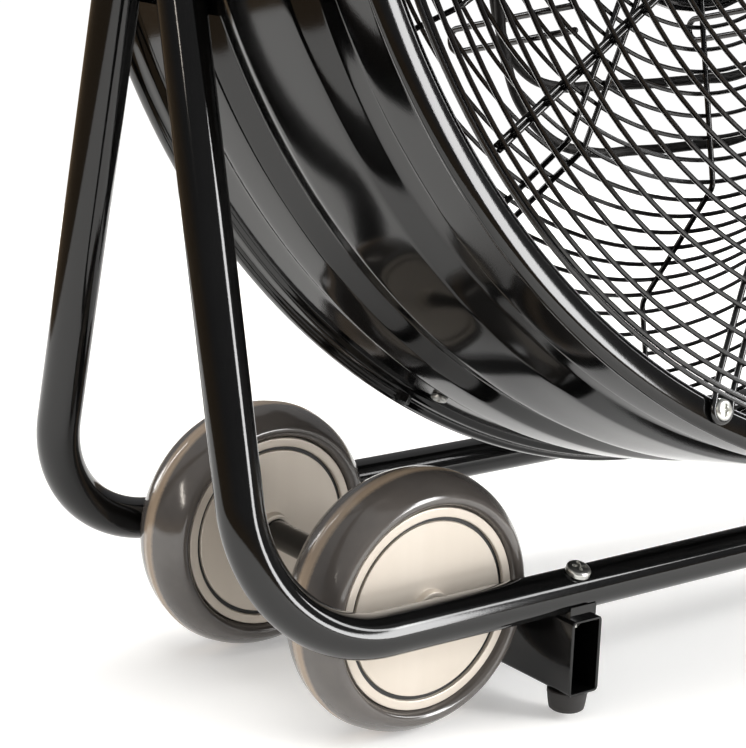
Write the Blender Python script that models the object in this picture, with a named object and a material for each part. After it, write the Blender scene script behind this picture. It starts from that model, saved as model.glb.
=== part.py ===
"""Wheeled drum fan: a tilting steel drum between two A-shaped tube sides."""

import math

import bpy
import numpy as np
from mathutils import Matrix, Vector

MM = 0.001
GAP = 0.3
BEHIND = 13.8

# Drum and its pivot
PIVOT_Z = 420.0
TILT = math.radians(13.0)
RIM_R = 332.5
WALL = 1.2
DRUM_SIDES = 44
PIVOT_BOLT_R = 5.0
PIVOT_HOLE_R = 5.4

# Tube frame
TUBE_R = 10.5
TUBE_WALL = 1.5
TUBE_SIDES = 12
RAIL_Y = 95.2
RAIL_Z = 64.2
LEG_X = 349.1
LEAN = 0.251
BEND_R = 68.0
LEG_TOP_Z = 380.0
PLATE_T = 3.3

# Wheels
WHEEL_X = -245.0
WHEEL_Y = 64.1
WHEEL_R = 63.5
WHEEL_SIDES = 28
TYRE_HALF = 19.0
HUB_HALF = 16.35
HUB_R = 48.7
AXLE_R = 7.0

# Foot bars
BAR_X = (-171.6, 240.0)
BAR_HALF_X = 9.25
BAR_END_Y = 108.3
BAR_TOP_Z = 53.4
BAR_BOTTOM_Z = 15.3
BAR_WALL = 1.6
FOOT_Y = 97.0
FOOT_LOW_Z = (4.5, 0.0)

# Guards
FRONT_D = 101.7
FRONT_RADII = (52.0, 110.0, 168.9, 215.7, 262.6, 297.5, 314.0)
REAR_RADII = (88.0, 135.6, 187.0, 218.4, 247.0, 286.3, 320.0)
FRONT_SPOKE_DEG = -118.0
REAR_SPOKE_DEG = -122.0
SPOKES = 12
WIRE = 2.4
EAR_R = 321.7

# Motor, fan and switch
MOTOR_R = 76.0
MOTOR_FRONT_D = -42.6
MOTOR_BACK_D = -140.0
SHAFT_R = 8.0
FAN_D = 15.0
BLADES = 3
FIRST_BLADE_DEG = 57.0
TIP_R = 303.0
BOX_X = 36.0
BOX_V = 30.0
BOX_BACK_D = -186.0

# Cord and its hooks
CORD_R = 2.8
TURN_PITCH = 6.6
HOOK_X = 89.8
HOOK_V = 95.3
HOOK_HALF = 6.2
HOOK_BACK_D = -140.0
HOOK_WIRE_R = 1.8


def clear_scene():
    for old in list(bpy.data.objects):
        bpy.data.objects.remove(old, do_unlink=True)


def finish(name, rgb, roughness, metallic):
    material = bpy.data.materials.new(name)
    material.use_nodes = True
    shader = material.node_tree.nodes["Principled BSDF"]
    shader.inputs["Base Color"].default_value = (*rgb, 1.0)
    shader.inputs["Roughness"].default_value = roughness
    shader.inputs["Metallic"].default_value = metallic
    material.diffuse_color = (*rgb, 1.0)
    return material


def black_enamel(name):
    return finish(name, (0.012, 0.012, 0.013), 0.18, 0.0)


def bright_zinc(name):
    return finish(name, (0.72, 0.72, 0.70), 0.28, 1.0)


def black_rubber(name):
    return finish(name, (0.03, 0.028, 0.027), 0.7, 0.0)


def tyre_rubber(name):
    return finish(name, (0.07, 0.063, 0.058), 0.42, 0.0)


def hub_plastic(name):
    return finish(name, (0.62, 0.56, 0.49), 0.38, 0.0)


def black_plastic(name):
    return finish(name, (0.02, 0.02, 0.02), 0.5, 0.0)


def motor_paint(name):
    return finish(name, (0.03, 0.03, 0.032), 0.45, 0.0)


def ground_steel(name):
    return finish(name, (0.55, 0.55, 0.55), 0.3, 1.0)


def blade_metal(name):
    return finish(name, (0.45, 0.45, 0.46), 0.4, 1.0)


def solid(name, points, faces, place, material):
    """One closed mesh in millimetres, put at its place."""
    mesh = bpy.data.meshes.new(name)
    mesh.from_pydata([tuple(p) for p in points], [], [tuple(f) for f in faces])
    mesh.transform(Matrix.Scale(MM, 4))
    mesh.validate()
    mesh.update()
    obj = bpy.data.objects.new(name, mesh)
    bpy.context.scene.collection.objects.link(obj)
    obj.matrix_world = place
    if material is not None:
        mesh.materials.append(material(name))
    mesh.shade_smooth()
    return obj


def at(x, y, z):
    """A place square to the floor, y measured from the middle of the rails."""
    return Matrix.Translation((x * MM, (y - BEHIND) * MM, z * MM))


def on_drum():
    """The drum's own place: x across, -y out of the front, tilted up."""
    return at(0.0, 0.0, PIVOT_Z) @ Matrix.Rotation(-TILT, 4, "X")


def cut(obj, cutter):
    cutter.hide_render = True
    cutter.display_type = "WIRE"
    joint = obj.modifiers.new("cut", "BOOLEAN")
    joint.operation = "DIFFERENCE"
    joint.solver = "EXACT"
    joint.object = cutter


def join(obj, other):
    other.hide_render = True
    other.display_type = "WIRE"
    joint = obj.modifiers.new("join", "BOOLEAN")
    joint.operation = "UNION"
    joint.solver = "EXACT"
    joint.object = other


def frame_of(axis):
    """Two directions square to an axis."""
    axis = Vector(axis).normalized()
    side = Vector((0, 0, 1)) if abs(axis.z) < 0.9 else Vector((1, 0, 0))
    first = axis.cross(side).normalized()
    return first, axis.cross(first).normalized(), axis


def turned(name, loop, axis, sides, place, material, start=0.0):
    """A turned ring or solid: loop is a closed outline of (radius, height) pairs."""
    first, second, along = frame_of(axis)
    points = []
    rows = []
    for radius, height in loop:
        if radius < 1e-6:
            rows.append([len(points)] * sides)
            points.append(along * height)
            continue
        rows.append(list(range(len(points), len(points) + sides)))
        for i in range(sides):
            a = start + 2 * math.pi * i / sides
            out = first * math.cos(a) + second * math.sin(a)
            points.append(out * radius + along * height)
    faces = []
    for k, row in enumerate(rows):
        after = rows[(k + 1) % len(rows)]
        for i in range(sides):
            j = (i + 1) % sides
            corners = [row[i], row[j], after[j], after[i]]
            face = list(dict.fromkeys(corners))
            if len(face) > 2:
                faces.append(face)
    obj = solid(name, points, faces, place, material)
    face_out(obj)
    return obj


def face_out(obj):
    """Turns the faces outward when the closed mesh has a negative volume."""
    mesh = obj.data
    mesh.calc_loop_triangles()
    volume = 0.0
    for tri in mesh.loop_triangles:
        a, b, c = (mesh.vertices[i].co for i in tri.vertices)
        volume += a.dot(b.cross(c))
    if volume < 0:
        mesh.flip_normals()


def rod(name, start, end, radius, sides, place, material):
    """A plain solid cylinder between two points."""
    start = Vector(start)
    end = Vector(end)
    length = (end - start).length
    loop = [(0, 0), (radius, 0), (radius, length), (0, length)]
    return turned(name, loop, end - start, sides, place @ Matrix.Translation(start * MM), material)


def mirrored(way, chord):
    """The direction at an arc's end, from the next direction in and the chord between."""
    return (chord * (2 * chord.dot(way)) - way).normalized()


def swept(name, route, outer, inner, sides, place, material):
    """A round tube or, with no inner radius, a round bar along a route."""
    route = [Vector(p) for p in route]
    count = len(route)
    tangents = []
    for i in range(count):
        before = route[max(i - 1, 0)]
        after = route[min(i + 1, count - 1)]
        tangents.append((after - before).normalized())
    if count > 2:
        tangents[0] = mirrored(tangents[1], tangents[0])
        tangents[-1] = mirrored(tangents[-2], tangents[-1])
    side = frame_of(tangents[0])[0]
    skins = []
    for i in range(count):
        side = (side - tangents[i] * side.dot(tangents[i])).normalized()
        other = tangents[i].cross(side)
        skins.append((route[i], side.copy(), other))
    points = []
    for radius in (outer, inner) if inner else (outer,):
        for centre, u, w in skins:
            for k in range(sides):
                a = 2 * math.pi * k / sides
                points.append(centre + u * radius * math.cos(a) + w * radius * math.sin(a))
    faces = []
    for skin in range(2 if inner else 1):
        base = skin * count * sides
        for i in range(count - 1):
            for k in range(sides):
                j = (k + 1) % sides
                a = base + i * sides
                b = base + (i + 1) * sides
                quad = [a + k, a + j, b + j, b + k]
                faces.append(quad if skin == 0 else quad[::-1])
    last = (count - 1) * sides
    if inner:
        inside = count * sides
        for k in range(sides):
            j = (k + 1) % sides
            faces.append([j, k, inside + k, inside + j])
            faces.append([last + k, last + j, inside + last + j, inside + last + k])
    else:
        faces.append(list(range(sides))[::-1])
        faces.append(list(range(last, last + sides)))
    obj = solid(name, points, faces, place, material)
    face_out(obj)
    return obj


def prism(name, outline, low, high, place, material):
    """A flat outline in x and y, drawn up from low to high."""
    count = len(outline)
    points = [(x, y, low) for x, y in outline] + [(x, y, high) for x, y in outline]
    faces = [list(range(count))[::-1], list(range(count, 2 * count))]
    for i in range(count):
        j = (i + 1) % count
        faces.append([i, j, count + j, count + i])
    obj = solid(name, points, faces, place, material)
    face_out(obj)
    return obj


def block(name, low, high, place, material):
    x0, y0, z0 = low
    x1, y1, z1 = high
    return prism(name, [(x0, y0), (x1, y0), (x1, y1), (x0, y1)], z0, z1, place, material)


def eased_block(name, low, high, corner, place, material):
    """A block whose upright edges are rounded off."""
    x0, y0, z0 = low
    x1, y1, z1 = high
    outline = []
    for cx, cy, first in (
        (x1 - corner, y1 - corner, 0),
        (x0 + corner, y1 - corner, 90),
        (x0 + corner, y0 + corner, 180),
        (x1 - corner, y0 + corner, 270),
    ):
        for step in range(4):
            a = math.radians(first + 30 * step)
            outline.append((cx + corner * math.cos(a), cy + corner * math.sin(a)))
    return prism(name, outline, z0, z1, place, material)


# ---------------------------------------------------------------- frame


def lean_of(side):
    """Unit direction up a leg; side is -1 for the front and 1 for the rear."""
    return Vector((0.0, -side * LEAN, 1.0)).normalized()


def add_rail(name, side):
    end = LEG_X - BEND_R - GAP
    route = [(-end, 0, 0), (end, 0, 0)]
    place = at(0, side * RAIL_Y, RAIL_Z)
    inner = TUBE_R - TUBE_WALL
    rail = swept(name, route, TUBE_R, inner, TUBE_SIDES, place, black_enamel)
    for x in BAR_X:
        drill = rod(name + "_drill", (x, 0, -20), (x, 0, 20), 3.4, 12, place, None)
        cut(rail, drill)


def add_elbow(name, x_sign, side):
    up = lean_of(side)
    inward = Vector((-x_sign, 0, 0))
    middle = (inward + up) * BEND_R
    route = []
    for step in range(7):
        a = math.radians(90 * step / 6)
        route.append(middle - inward * BEND_R * math.cos(a) - up * BEND_R * math.sin(a))
    place = at(x_sign * LEG_X, side * RAIL_Y, RAIL_Z)
    swept(name, route, TUBE_R, TUBE_R - TUBE_WALL, TUBE_SIDES, place, black_enamel)


def add_leg(name, x_sign, side):
    up = lean_of(side)
    length = (LEG_TOP_Z - RAIL_Z) / up.z
    route = [up * (BEND_R + GAP), up * length]
    place = at(x_sign * LEG_X, side * RAIL_Y, RAIL_Z)
    swept(name, route, TUBE_R, TUBE_R - TUBE_WALL, TUBE_SIDES, place, black_enamel)


def add_pivot_plate(name, x_sign):
    """An upright plate on the inner side of the legs, rounded round the pivot."""
    outline = [(-38.0, -88.0), (38.0, -88.0)]
    for step in range(9):
        a = math.radians(-10 + 200 * step / 8)
        outline.append((27.0 * math.cos(a), 27.0 * math.sin(a)))
    outer = LEG_X - TUBE_R - GAP
    turn = Matrix(((0, 0, 1, 0), (1, 0, 0, 0), (0, 1, 0, 0), (0, 0, 0, 1)))
    low, high = sorted((x_sign * outer, x_sign * (outer - PLATE_T)))
    place = at(0, 0, PIVOT_Z) @ turn
    plate = prism(name, outline, low, high, place, black_enamel)
    hole = rod(name + "_hole", (0, 0, low - 5), (0, 0, high + 5), PIVOT_HOLE_R, 16, place, None)
    cut(plate, hole)


def add_frame():
    for word, side in (("front", -1), ("rear", 1)):
        add_rail(word + "_rail", side)
        for hand, x_sign in (("left", -1), ("right", 1)):
            add_elbow(f"{word}_{hand}_bend", x_sign, side)
            add_leg(f"{word}_{hand}_leg", x_sign, side)
    add_pivot_plate("left_pivot_plate", -1)
    add_pivot_plate("right_pivot_plate", 1)


def add_foot_bar(name, x):
    """A rectangular tube across under both rails, open at its ends."""
    half = BAR_HALF_X
    thin = half - BAR_WALL
    height = (BAR_TOP_Z - BAR_BOTTOM_Z) / 2
    low = height - BAR_WALL
    outer = [(-half, -height), (half, -height), (half, height), (-half, height)]
    inner = [(-thin, -low), (thin, -low), (thin, low), (-thin, low)]
    points = []
    for corners in (outer, inner):
        for y in (-BAR_END_Y, BAR_END_Y):
            points += [(cx, y, cz) for cx, cz in corners]
    faces = []
    for i in range(4):
        j = (i + 1) % 4
        faces.append([i, j, 4 + j, 4 + i])
        faces.append([8 + j, 8 + i, 12 + i, 12 + j])
        faces.append([j, i, 8 + i, 8 + j])
        faces.append([4 + i, 4 + j, 12 + j, 12 + i])
    place = at(x, 0, BAR_BOTTOM_Z + height)
    bar = solid(name, points, faces, place, black_enamel)
    face_out(bar)
    for side in (-1, 1):
        y = side * RAIL_Y
        drill = rod(name + "_drill", (0, y, height - 6), (0, y, height + 6), 3.4, 12, place, None)
        cut(bar, drill)


def add_foot(name, x, side, low):
    loop = [(0, low), (8.0, low), (8.6, low + 0.8), (9.8, 12.0), (9.8, BAR_BOTTOM_Z - GAP)]
    loop.append((0, BAR_BOTTOM_Z - GAP))
    turned(name, loop, (0, 0, 1), 20, at(x, side * FOOT_Y, 0), black_rubber)


def add_rail_screw(name, x, side):
    """A pan-head screw down through the rail and the bar's top wall, with its nut."""
    top = RAIL_Z + TUBE_R + 0.2
    nut = BAR_TOP_Z - BAR_WALL - GAP
    loop = [(0, nut - 8), (3.0, nut - 8), (3.0, nut - 5), (5.4, nut - 5), (5.4, nut), (3.0, nut)]
    loop += [(3.0, top), (6.0, top), (5.8, top + 1.6), (4.2, top + 3.2), (0, top + 3.8)]
    turned(name, loop, (0, 0, 1), 12, at(x, side * RAIL_Y, 0), bright_zinc)


def add_feet():
    for hand, x, low in zip(("left", "right"), BAR_X, FOOT_LOW_Z):
        add_foot_bar(f"{hand}_foot_bar", x)
        for word, side in (("front", -1), ("rear", 1)):
            add_foot(f"{word}_{hand}_foot", x, side, low)
            add_rail_screw(f"{word}_{hand}_rail_screw", x, side)


# ---------------------------------------------------------------- wheels


def add_axle():
    end = RAIL_Y - TUBE_R - GAP
    collar_out = WHEEL_Y - HUB_HALF - GAP
    collar_in = collar_out - 3.5
    loop = [(0, -end), (AXLE_R, -end), (AXLE_R, -collar_out), (8.8, -collar_out)]
    loop += [(8.8, -collar_in), (AXLE_R, -collar_in), (AXLE_R, collar_in), (8.8, collar_in)]
    loop += [(8.8, collar_out), (AXLE_R, collar_out), (AXLE_R, end), (0, end)]
    turned("axle", loop, (0, 1, 0), 24, at(WHEEL_X, 0, WHEEL_R), black_enamel)


def add_wheel(word, side):
    """A solid tyre on a flat hub that has a raised ring and a groove on each face."""
    place = at(WHEEL_X, side * WHEEL_Y, WHEEL_R)
    seat = HUB_R + GAP
    half = [(seat, 15.6), (51.4, 17.8), (55.6, TYRE_HALF), (60.0, 16.4)]
    half += [(62.5, 11.6), (WHEEL_R, 5.0)]
    loop = half + [(r, -h) for r, h in reversed(half)]
    turned(f"{word}_tyre", loop, (0, 1, 0), WHEEL_SIDES, place, tyre_rubber)
    bore = AXLE_R + GAP
    half = [(bore, 15.7), (42.6, 15.7), (42.9, 13.6), (44.2, 13.6), (44.5, HUB_HALF)]
    half += [(HUB_R, HUB_HALF)]
    loop = half + [(r, -h) for r, h in reversed(half)]
    turned(f"{word}_wheel_hub", loop, (0, 1, 0), WHEEL_SIDES, place, hub_plastic)


# ---------------------------------------------------------------- drum

# Outside of the drum sheet: (radius, distance in front of the pivot plane)
DRUM_OUTSIDE = (
    (332.5, 96.0),
    (330.0, 92.8),
    (330.0, 70.0),
    (326.6, 68.0),
    (326.6, 54.0),
    (330.5, 41.0),
    (330.5, -5.0),
    (326.2, -19.0),
    (330.5, -32.5),
    (330.5, -55.0),
    (326.5, -63.0),
    (326.5, -84.0),
    (330.0, -86.5),
    (330.0, -93.0),
    (332.5, -96.0),
    (332.5, -101.0),
    (330.2, -103.5),
)
FRONT_CURL = ((317.3, 96.6), (318.6, 99.2), (322.0, 100.2), (328.4, 100.2), (331.6, 98.8))


def add_drum_shell():
    """The ribbed sheet drum, its front edge curled inward and its rear edge rolled."""
    outside = list(FRONT_CURL) + list(DRUM_OUTSIDE)
    curl_inside = [(318.5, 96.2), (319.6, 98.2), (322.4, 99.0), (327.9, 99.0), (330.4, 98.0)]
    inside = curl_inside + [(r - WALL, d) for r, d in DRUM_OUTSIDE[:-1]]
    inside.append((DRUM_OUTSIDE[-1][0] - WALL - 2.0, DRUM_OUTSIDE[-1][1]))
    loop = outside + inside[::-1]
    drum = turned("drum_shell", loop, (0, -1, 0), DRUM_SIDES, on_drum(), black_enamel)
    for hand in (-1, 1):
        start = (hand * (RIM_R - 20), 0, 0)
        end = (hand * (RIM_R + 10), 0, 0)
        cut(drum, rod("pivot_drill", start, end, PIVOT_HOLE_R, 12, on_drum(), None))
    for quarter in range(4):
        out = radial(FRONT_SPOKE_DEG + 90 * quarter)
        low = out * EAR_R + Vector((0, -92, 0))
        high = out * EAR_R + Vector((0, -108, 0))
        cut(drum, rod("ear_drill", low, high, 2.7, 10, on_drum(), None))
        out = radial(REAR_SPOKE_DEG + 90 * quarter)
        low = out * 318 + Vector((0, 72, 0))
        high = out * 336 + Vector((0, 72, 0))
        cut(drum, rod("band_drill", low, high, 2.7, 10, on_drum(), None))


def radial(degrees):
    a = math.radians(degrees)
    return Vector((math.cos(a), 0, math.sin(a)))


def rear_depth(radius):
    """Distance in front of the pivot plane of the dished rear guard."""
    return float(np.interp(radius, (0, 187, 247, 330), (-38.0, -38.0, -98.0, -98.0)))


def wire_guard(name, radii, depth_of, first_deg, place, material):
    """Rings and spokes as one closed grid: every ring band is full, gaps hold only spokes."""
    edges = []
    for radius in radii:
        edges += [radius - WIRE / 2, radius + WIRE / 2]
    columns = 3 * SPOKES
    pitch = 2 * math.pi / SPOKES
    points = []
    for lift in (-WIRE / 2, WIRE / 2):
        for k, radius in enumerate(edges):
            middle = radii[k // 2]
            half = 1.7 / radius
            for spoke in range(SPOKES):
                centre = math.radians(first_deg) + spoke * pitch
                for a in (centre - half, centre + half, centre + pitch / 2):
                    depth = depth_of(middle) + lift
                    points.append((radius * math.cos(a), -depth, radius * math.sin(a)))
    rows = len(edges)

    def index(layer, row, column):
        return layer * rows * columns + row * columns + column % columns

    def full(row, column):
        if row < 0 or row >= rows - 1:
            return False
        return row % 2 == 0 or column % 3 == 0

    faces = []
    for row in range(rows - 1):
        for column in range(columns):
            if not full(row, column):
                continue
            a, b = index(0, row, column), index(0, row, column + 1)
            c, d = index(0, row + 1, column + 1), index(0, row + 1, column)
            e, f = index(1, row, column), index(1, row, column + 1)
            g, h = index(1, row + 1, column + 1), index(1, row + 1, column)
            faces += [[a, b, c, d], [h, g, f, e]]
            if not full(row - 1, column):
                faces.append([b, a, e, f])
            if not full(row + 1, column):
                faces.append([d, c, g, h])
            if not full(row, (column - 1) % columns):
                faces.append([a, d, h, e])
            if not full(row, (column + 1) % columns):
                faces.append([c, b, f, g])
    guard = solid(name, points, faces, place, material)
    face_out(guard)
    return guard


def add_front_guard():
    def flat(radius):
        return FRONT_D

    name = "front_guard"
    guard = wire_guard(name, FRONT_RADII, flat, FRONT_SPOKE_DEG, on_drum(), black_enamel)
    for quarter in range(4):
        out = radial(FRONT_SPOKE_DEG + 90 * quarter) * EAR_R
        low = out + Vector((0, -(FRONT_D - 1.2), 0))
        high = out + Vector((0, -(FRONT_D + 0.9), 0))
        join(guard, rod("ear", low, high, 8.0, 14, on_drum(), None))
    for quarter in range(4):
        out = radial(FRONT_SPOKE_DEG + 90 * quarter) * EAR_R
        low = out + Vector((0, -90, 0))
        high = out + Vector((0, -110, 0))
        cut(guard, rod("ear_hole", low, high, 2.7, 10, on_drum(), None))
    hub = rod("badge", (0, -100.6, 0), (0, -102.8, 0), 54.0, 36, on_drum(), None)
    join(guard, hub)


def add_rear_guard():
    name = "rear_guard"
    place = on_drum()
    guard = wire_guard(name, REAR_RADII, rear_depth, REAR_SPOKE_DEG, place, black_enamel)
    for quarter in range(4):
        degrees = REAR_SPOKE_DEG + 90 * quarter
        turn = place @ Matrix.Rotation(-math.radians(degrees), 4, "Y")
        join(guard, block("lug", (316.0, 66.0, -5.0), (324.4, 98.8, 5.0), turn, None))
    for quarter in range(4):
        out = radial(REAR_SPOKE_DEG + 90 * quarter)
        low = out * 310 + Vector((0, 72, 0))
        high = out * 330 + Vector((0, 72, 0))
        cut(guard, rod("lug_hole", low, high, 2.7, 10, place, None))


def add_guard_screws():
    for quarter in range(4):
        degrees = FRONT_SPOKE_DEG + 90 * quarter
        out = radial(degrees) * EAR_R
        seat = FRONT_D + 0.9 + GAP
        loop = [(0, seat - 9), (2.3, seat - 9), (2.3, seat), (5.0, seat), (4.8, seat + 1.4)]
        loop += [(3.4, seat + 2.7), (0, seat + 3.2)]
        place = on_drum() @ Matrix.Translation(out * MM)
        turned(f"front_guard_screw_{quarter + 1}", loop, (0, -1, 0), 14, place, bright_zinc)
        out = radial(REAR_SPOKE_DEG + 90 * quarter)
        seat = 326.5 + GAP
        loop = [(0, seat - 8), (2.3, seat - 8), (2.3, seat), (4.2, seat), (4.0, seat + 1.2)]
        loop += [(2.8, seat + 2.2), (0, seat + 2.6)]
        place = on_drum() @ Matrix.Translation(Vector((0, 72, 0)) * MM)
        turned(f"rear_guard_screw_{quarter + 1}", loop, out, 14, place, bright_zinc)


def add_pivots():
    """Spacer, bolt and clamping knob at each side."""
    inner = LEG_X - TUBE_R - GAP - PLATE_T
    outer = LEG_X - TUBE_R
    for hand, x_sign in (("left", -1), ("right", 1)):
        place = on_drum()
        axis = (x_sign, 0, 0)
        low = 330.5 + GAP
        loop = [(PIVOT_HOLE_R, low), (13.0, low), (13.0, inner - GAP), (PIVOT_HOLE_R, inner - GAP)]
        turned(f"{hand}_pivot_spacer", loop, axis, 20, place, bright_zinc)
        loop = [(0, 322.0), (6.0, 322.6), (8.5, 324.6), (8.5, 327.3), (PIVOT_BOLT_R, 327.3)]
        loop += [(PIVOT_BOLT_R, outer + 15), (0, outer + 15)]
        turned(f"{hand}_pivot_bolt", loop, axis, 20, place, bright_zinc)
        add_knob(f"{hand}_tilt_knob", x_sign, outer)


def add_knob(name, x_sign, seat):
    """A six-lobed clamping knob with a blind bore for the bolt."""
    outline = []
    for step in range(36):
        a = 2 * math.pi * step / 36
        radius = 23.0 + 3.0 * math.cos(6 * a)
        outline.append((radius * math.cos(a), radius * math.sin(a)))
    turn = Matrix(((0, 0, x_sign, 0), (x_sign, 0, 0, 0), (0, 1, 0, 0), (0, 0, 0, 1)))
    place = at(0, 0, PIVOT_Z) @ turn
    knob = prism(name, outline, seat + 6, seat + 24, place, black_plastic)
    neck = rod("neck", (0, 0, seat), (0, 0, seat + 8), 13.0, 20, place, None)
    join(knob, neck)
    bore = rod("bore", (0, 0, seat - 5), (0, 0, seat + 16), PIVOT_HOLE_R, 16, place, None)
    cut(knob, bore)


# ---------------------------------------------------------------- motor and fan


def add_motor():
    place = on_drum()
    front = (0, -1, 0)
    bore = SHAFT_R + GAP
    loop = [(12.0, -39.5), (95.0, -39.5), (95.0, -42.3), (12.0, -42.3)]
    turned("motor_plate", loop, front, 32, place, black_enamel)
    loop = [(bore, MOTOR_FRONT_D), (70.0, MOTOR_FRONT_D), (MOTOR_R, MOTOR_FRONT_D - 6)]
    loop += [(MOTOR_R, MOTOR_BACK_D + 4), (MOTOR_R - 3, MOTOR_BACK_D), (bore, MOTOR_BACK_D)]
    turned("motor_housing", loop, front, 32, place, motor_paint)
    back = MOTOR_BACK_D - GAP
    loop = [(0, back), (MOTOR_R - 3, back), (MOTOR_R - 4, back - 4), (56.0, back - 10), (0, back - 10)]
    turned("motor_back_cover", loop, front, 32, place, motor_paint)
    loop = [(0, MOTOR_BACK_D + 4), (SHAFT_R, MOTOR_BACK_D + 4), (SHAFT_R, 34.0), (6.8, 35.0), (0, 35.0)]
    turned("motor_shaft", loop, front, 24, place, ground_steel)


def blade_points(first_deg, lift):
    """One blade's grid: pitch falls and chord grows from root to tip."""
    rows = []
    for i in range(7):
        t = i / 6
        radius = 50.0 + (TIP_R - 50.0) * t
        spread = math.radians(46.0 + 6.0 * math.sin(math.pi * t) - 6.0 * t)
        pitch = math.radians(34.0 - 12.0 * t)
        row = []
        for k in range(6):
            s = k / 5 - 0.5
            a = math.radians(first_deg) + s * spread
            chord = radius * spread * s
            camber = 0.06 * radius * spread * (0.25 - s * s)
            depth = FAN_D + chord * math.tan(pitch) * 0.9 - camber + lift
            row.append((radius * math.cos(a), -depth, radius * math.sin(a)))
        rows.append(row)
    return rows


def add_blade(first_deg, place):
    points = []
    for lift in (-0.8, 0.8):
        for row in blade_points(first_deg, lift):
            points += row
    rows, columns = 7, 6
    layer = rows * columns
    faces = []
    for i in range(rows - 1):
        for k in range(columns - 1):
            a = i * columns + k
            quad = [a, a + 1, a + columns + 1, a + columns]
            faces += [quad, [layer + n for n in quad[::-1]]]
    rim = list(range(columns))
    rim += [i * columns + columns - 1 for i in range(1, rows)]
    rim += [(rows - 1) * columns + k for k in range(columns - 2, -1, -1)]
    rim += [i * columns for i in range(rows - 2, 0, -1)]
    for n, a in enumerate(rim):
        b = rim[(n + 1) % len(rim)]
        faces.append([b, a, layer + a, layer + b])
    blade = solid("blade", points, faces, place, None)
    face_out(blade)
    return blade


def add_fan():
    place = on_drum()
    front = (0, -1, 0)
    bore = SHAFT_R + GAP
    loop = [(13.0, FAN_D - 2), (66.0, FAN_D - 2), (66.0, FAN_D + 2), (13.0, FAN_D + 2)]
    fan = turned("fan_blades", loop, front, 36, place, blade_metal)
    for n in range(BLADES):
        join(fan, add_blade(FIRST_BLADE_DEG + n * 360 / BLADES, place))
    loop = [(bore, -4.0), (12.7, -4.0), (12.7, 34.0), (10.5, 36.0), (0, 36.0), (0, 35.3)]
    loop.append((bore, 35.3))
    turned("fan_hub", loop, front, 24, place, ground_steel)


# ---------------------------------------------------------------- switch and cord


def add_switch():
    place = on_drum()
    front_d = MOTOR_BACK_D - GAP - 10 - GAP
    low = (-BOX_X, -front_d, -BOX_V)
    high = (BOX_X, -BOX_BACK_D, BOX_V)
    turn = Matrix(((1, 0, 0, 0), (0, 0, 1, 0), (0, -1, 0, 0), (0, 0, 0, 1)))
    box_low = (low[0], -high[2], low[1])
    box_high = (high[0], -low[2], high[1])
    eased_block("switch_box", box_low, box_high, 6.0, place @ turn, black_plastic)
    back = -BOX_BACK_D + GAP
    loop = [(0, back), (17.0, back), (17.0, back + 3), (14.0, back + 5), (12.5, back + 15)]
    loop.append((0, back + 16))
    turned("speed_knob", loop, (0, 1, 0), 24, place, black_plastic)
    gland_y = -(front_d + BOX_BACK_D) / 2
    bore = CORD_R + GAP
    loop = [(bore, BOX_X + GAP), (9.0, BOX_X + GAP), (9.0, BOX_X + 5), (6.0, BOX_X + 15)]
    loop.append((bore, BOX_X + 15))
    gland_place = place @ Matrix.Translation((0, gland_y * MM, 0))
    turned("cord_gland", loop, (-1, 0, 0), 16, gland_place, black_plastic)
    return gland_y


def add_hooks():
    """U-shaped wires standing back from the rear guard, one at each quarter."""
    start = 39.5
    bend_y = -HOOK_BACK_D - HOOK_HALF
    corners = ((-1, -1), (1, -1), (1, 1), (-1, 1))
    for number, (x_sign, v_sign) in enumerate(corners, 1):
        centre = Vector((x_sign * HOOK_X, 0, v_sign * HOOK_V))
        low = centre - Vector((0, 0, HOOK_HALF))
        high = centre + Vector((0, 0, HOOK_HALF))
        route = [high + Vector((0, y, 0)) for y in (start, bend_y)]
        for step in range(1, 6):
            a = math.radians(30 * step)
            spot = Vector((0, bend_y + HOOK_HALF * math.sin(a), HOOK_HALF * math.cos(a)))
            route.append(centre + spot)
        route += [low + Vector((0, y, 0)) for y in (bend_y, start)]
        swept(f"cord_hook_{number}", route, HOOK_WIRE_R, 0, 8, on_drum(), black_enamel)


def winding(y, reach, drop, corner, low_corner):
    """One turn from the top right round by the bottom: four arcs joined by straights."""
    top = 112.0
    arcs = ((1, 1, 90), (1, -1, 0), (-1, -1, -90), (-1, 1, 180))
    knots = []
    for number, (x_sign, v_sign, first) in enumerate(arcs):
        bend = corner if v_sign > 0 else low_corner
        x = x_sign * (reach - bend)
        v = top - bend if v_sign > 0 else bend - drop
        for step in range(4):
            a = math.radians(first - 30 * step)
            back = y - TURN_PITCH * (4 * number + step) / 16
            knots.append((x + bend * math.cos(a), back, v + bend * math.sin(a)))
        if v_sign < 0 and x_sign > 0:
            knots.append((0.0, knots[-1][1] - TURN_PITCH / 32, -drop - 1.0))
    return knots


def cord_route(gland_y):
    """From the gland over the motor, twice round the hooks and down to the plug."""
    straight = [(-BOX_X - run, gland_y, 0.0) for run in (2.0, 16.0)]
    lead = [(-BOX_X - 22.0, gland_y, 0.0), (-66.0, 164.0, 8.0), (-72.0, 158.0, 28.0)]
    lead += [(-66.0, 149.0, 56.0), (-46.0, 131.0, 86.0), (-14.0, 108.0, 106.0)]
    lead.append((28.0, 92.0, 111.5))
    turns = winding(86.0, 105.0, 127.0, 30.0, 42.0)
    turns += winding(86.0 - TURN_PITCH, 108.0, 163.0, 32.0, 58.0)
    last = 86.0 - 2 * TURN_PITCH
    tail = [turns[-1], (84.0, last, 111.5), (104.0, last, 101.0), (120.0, last, 76.0)]
    tail += [(133.0, last, 38.0), (139.0, last, 2.0), (140.0, last, -38.0)]
    lead = smooth(lead + turns[:1], 16.0, 22)
    return np.vstack([straight, lead[:-1], turns[:-1], smooth(tail, 16.0, 22)])


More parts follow.
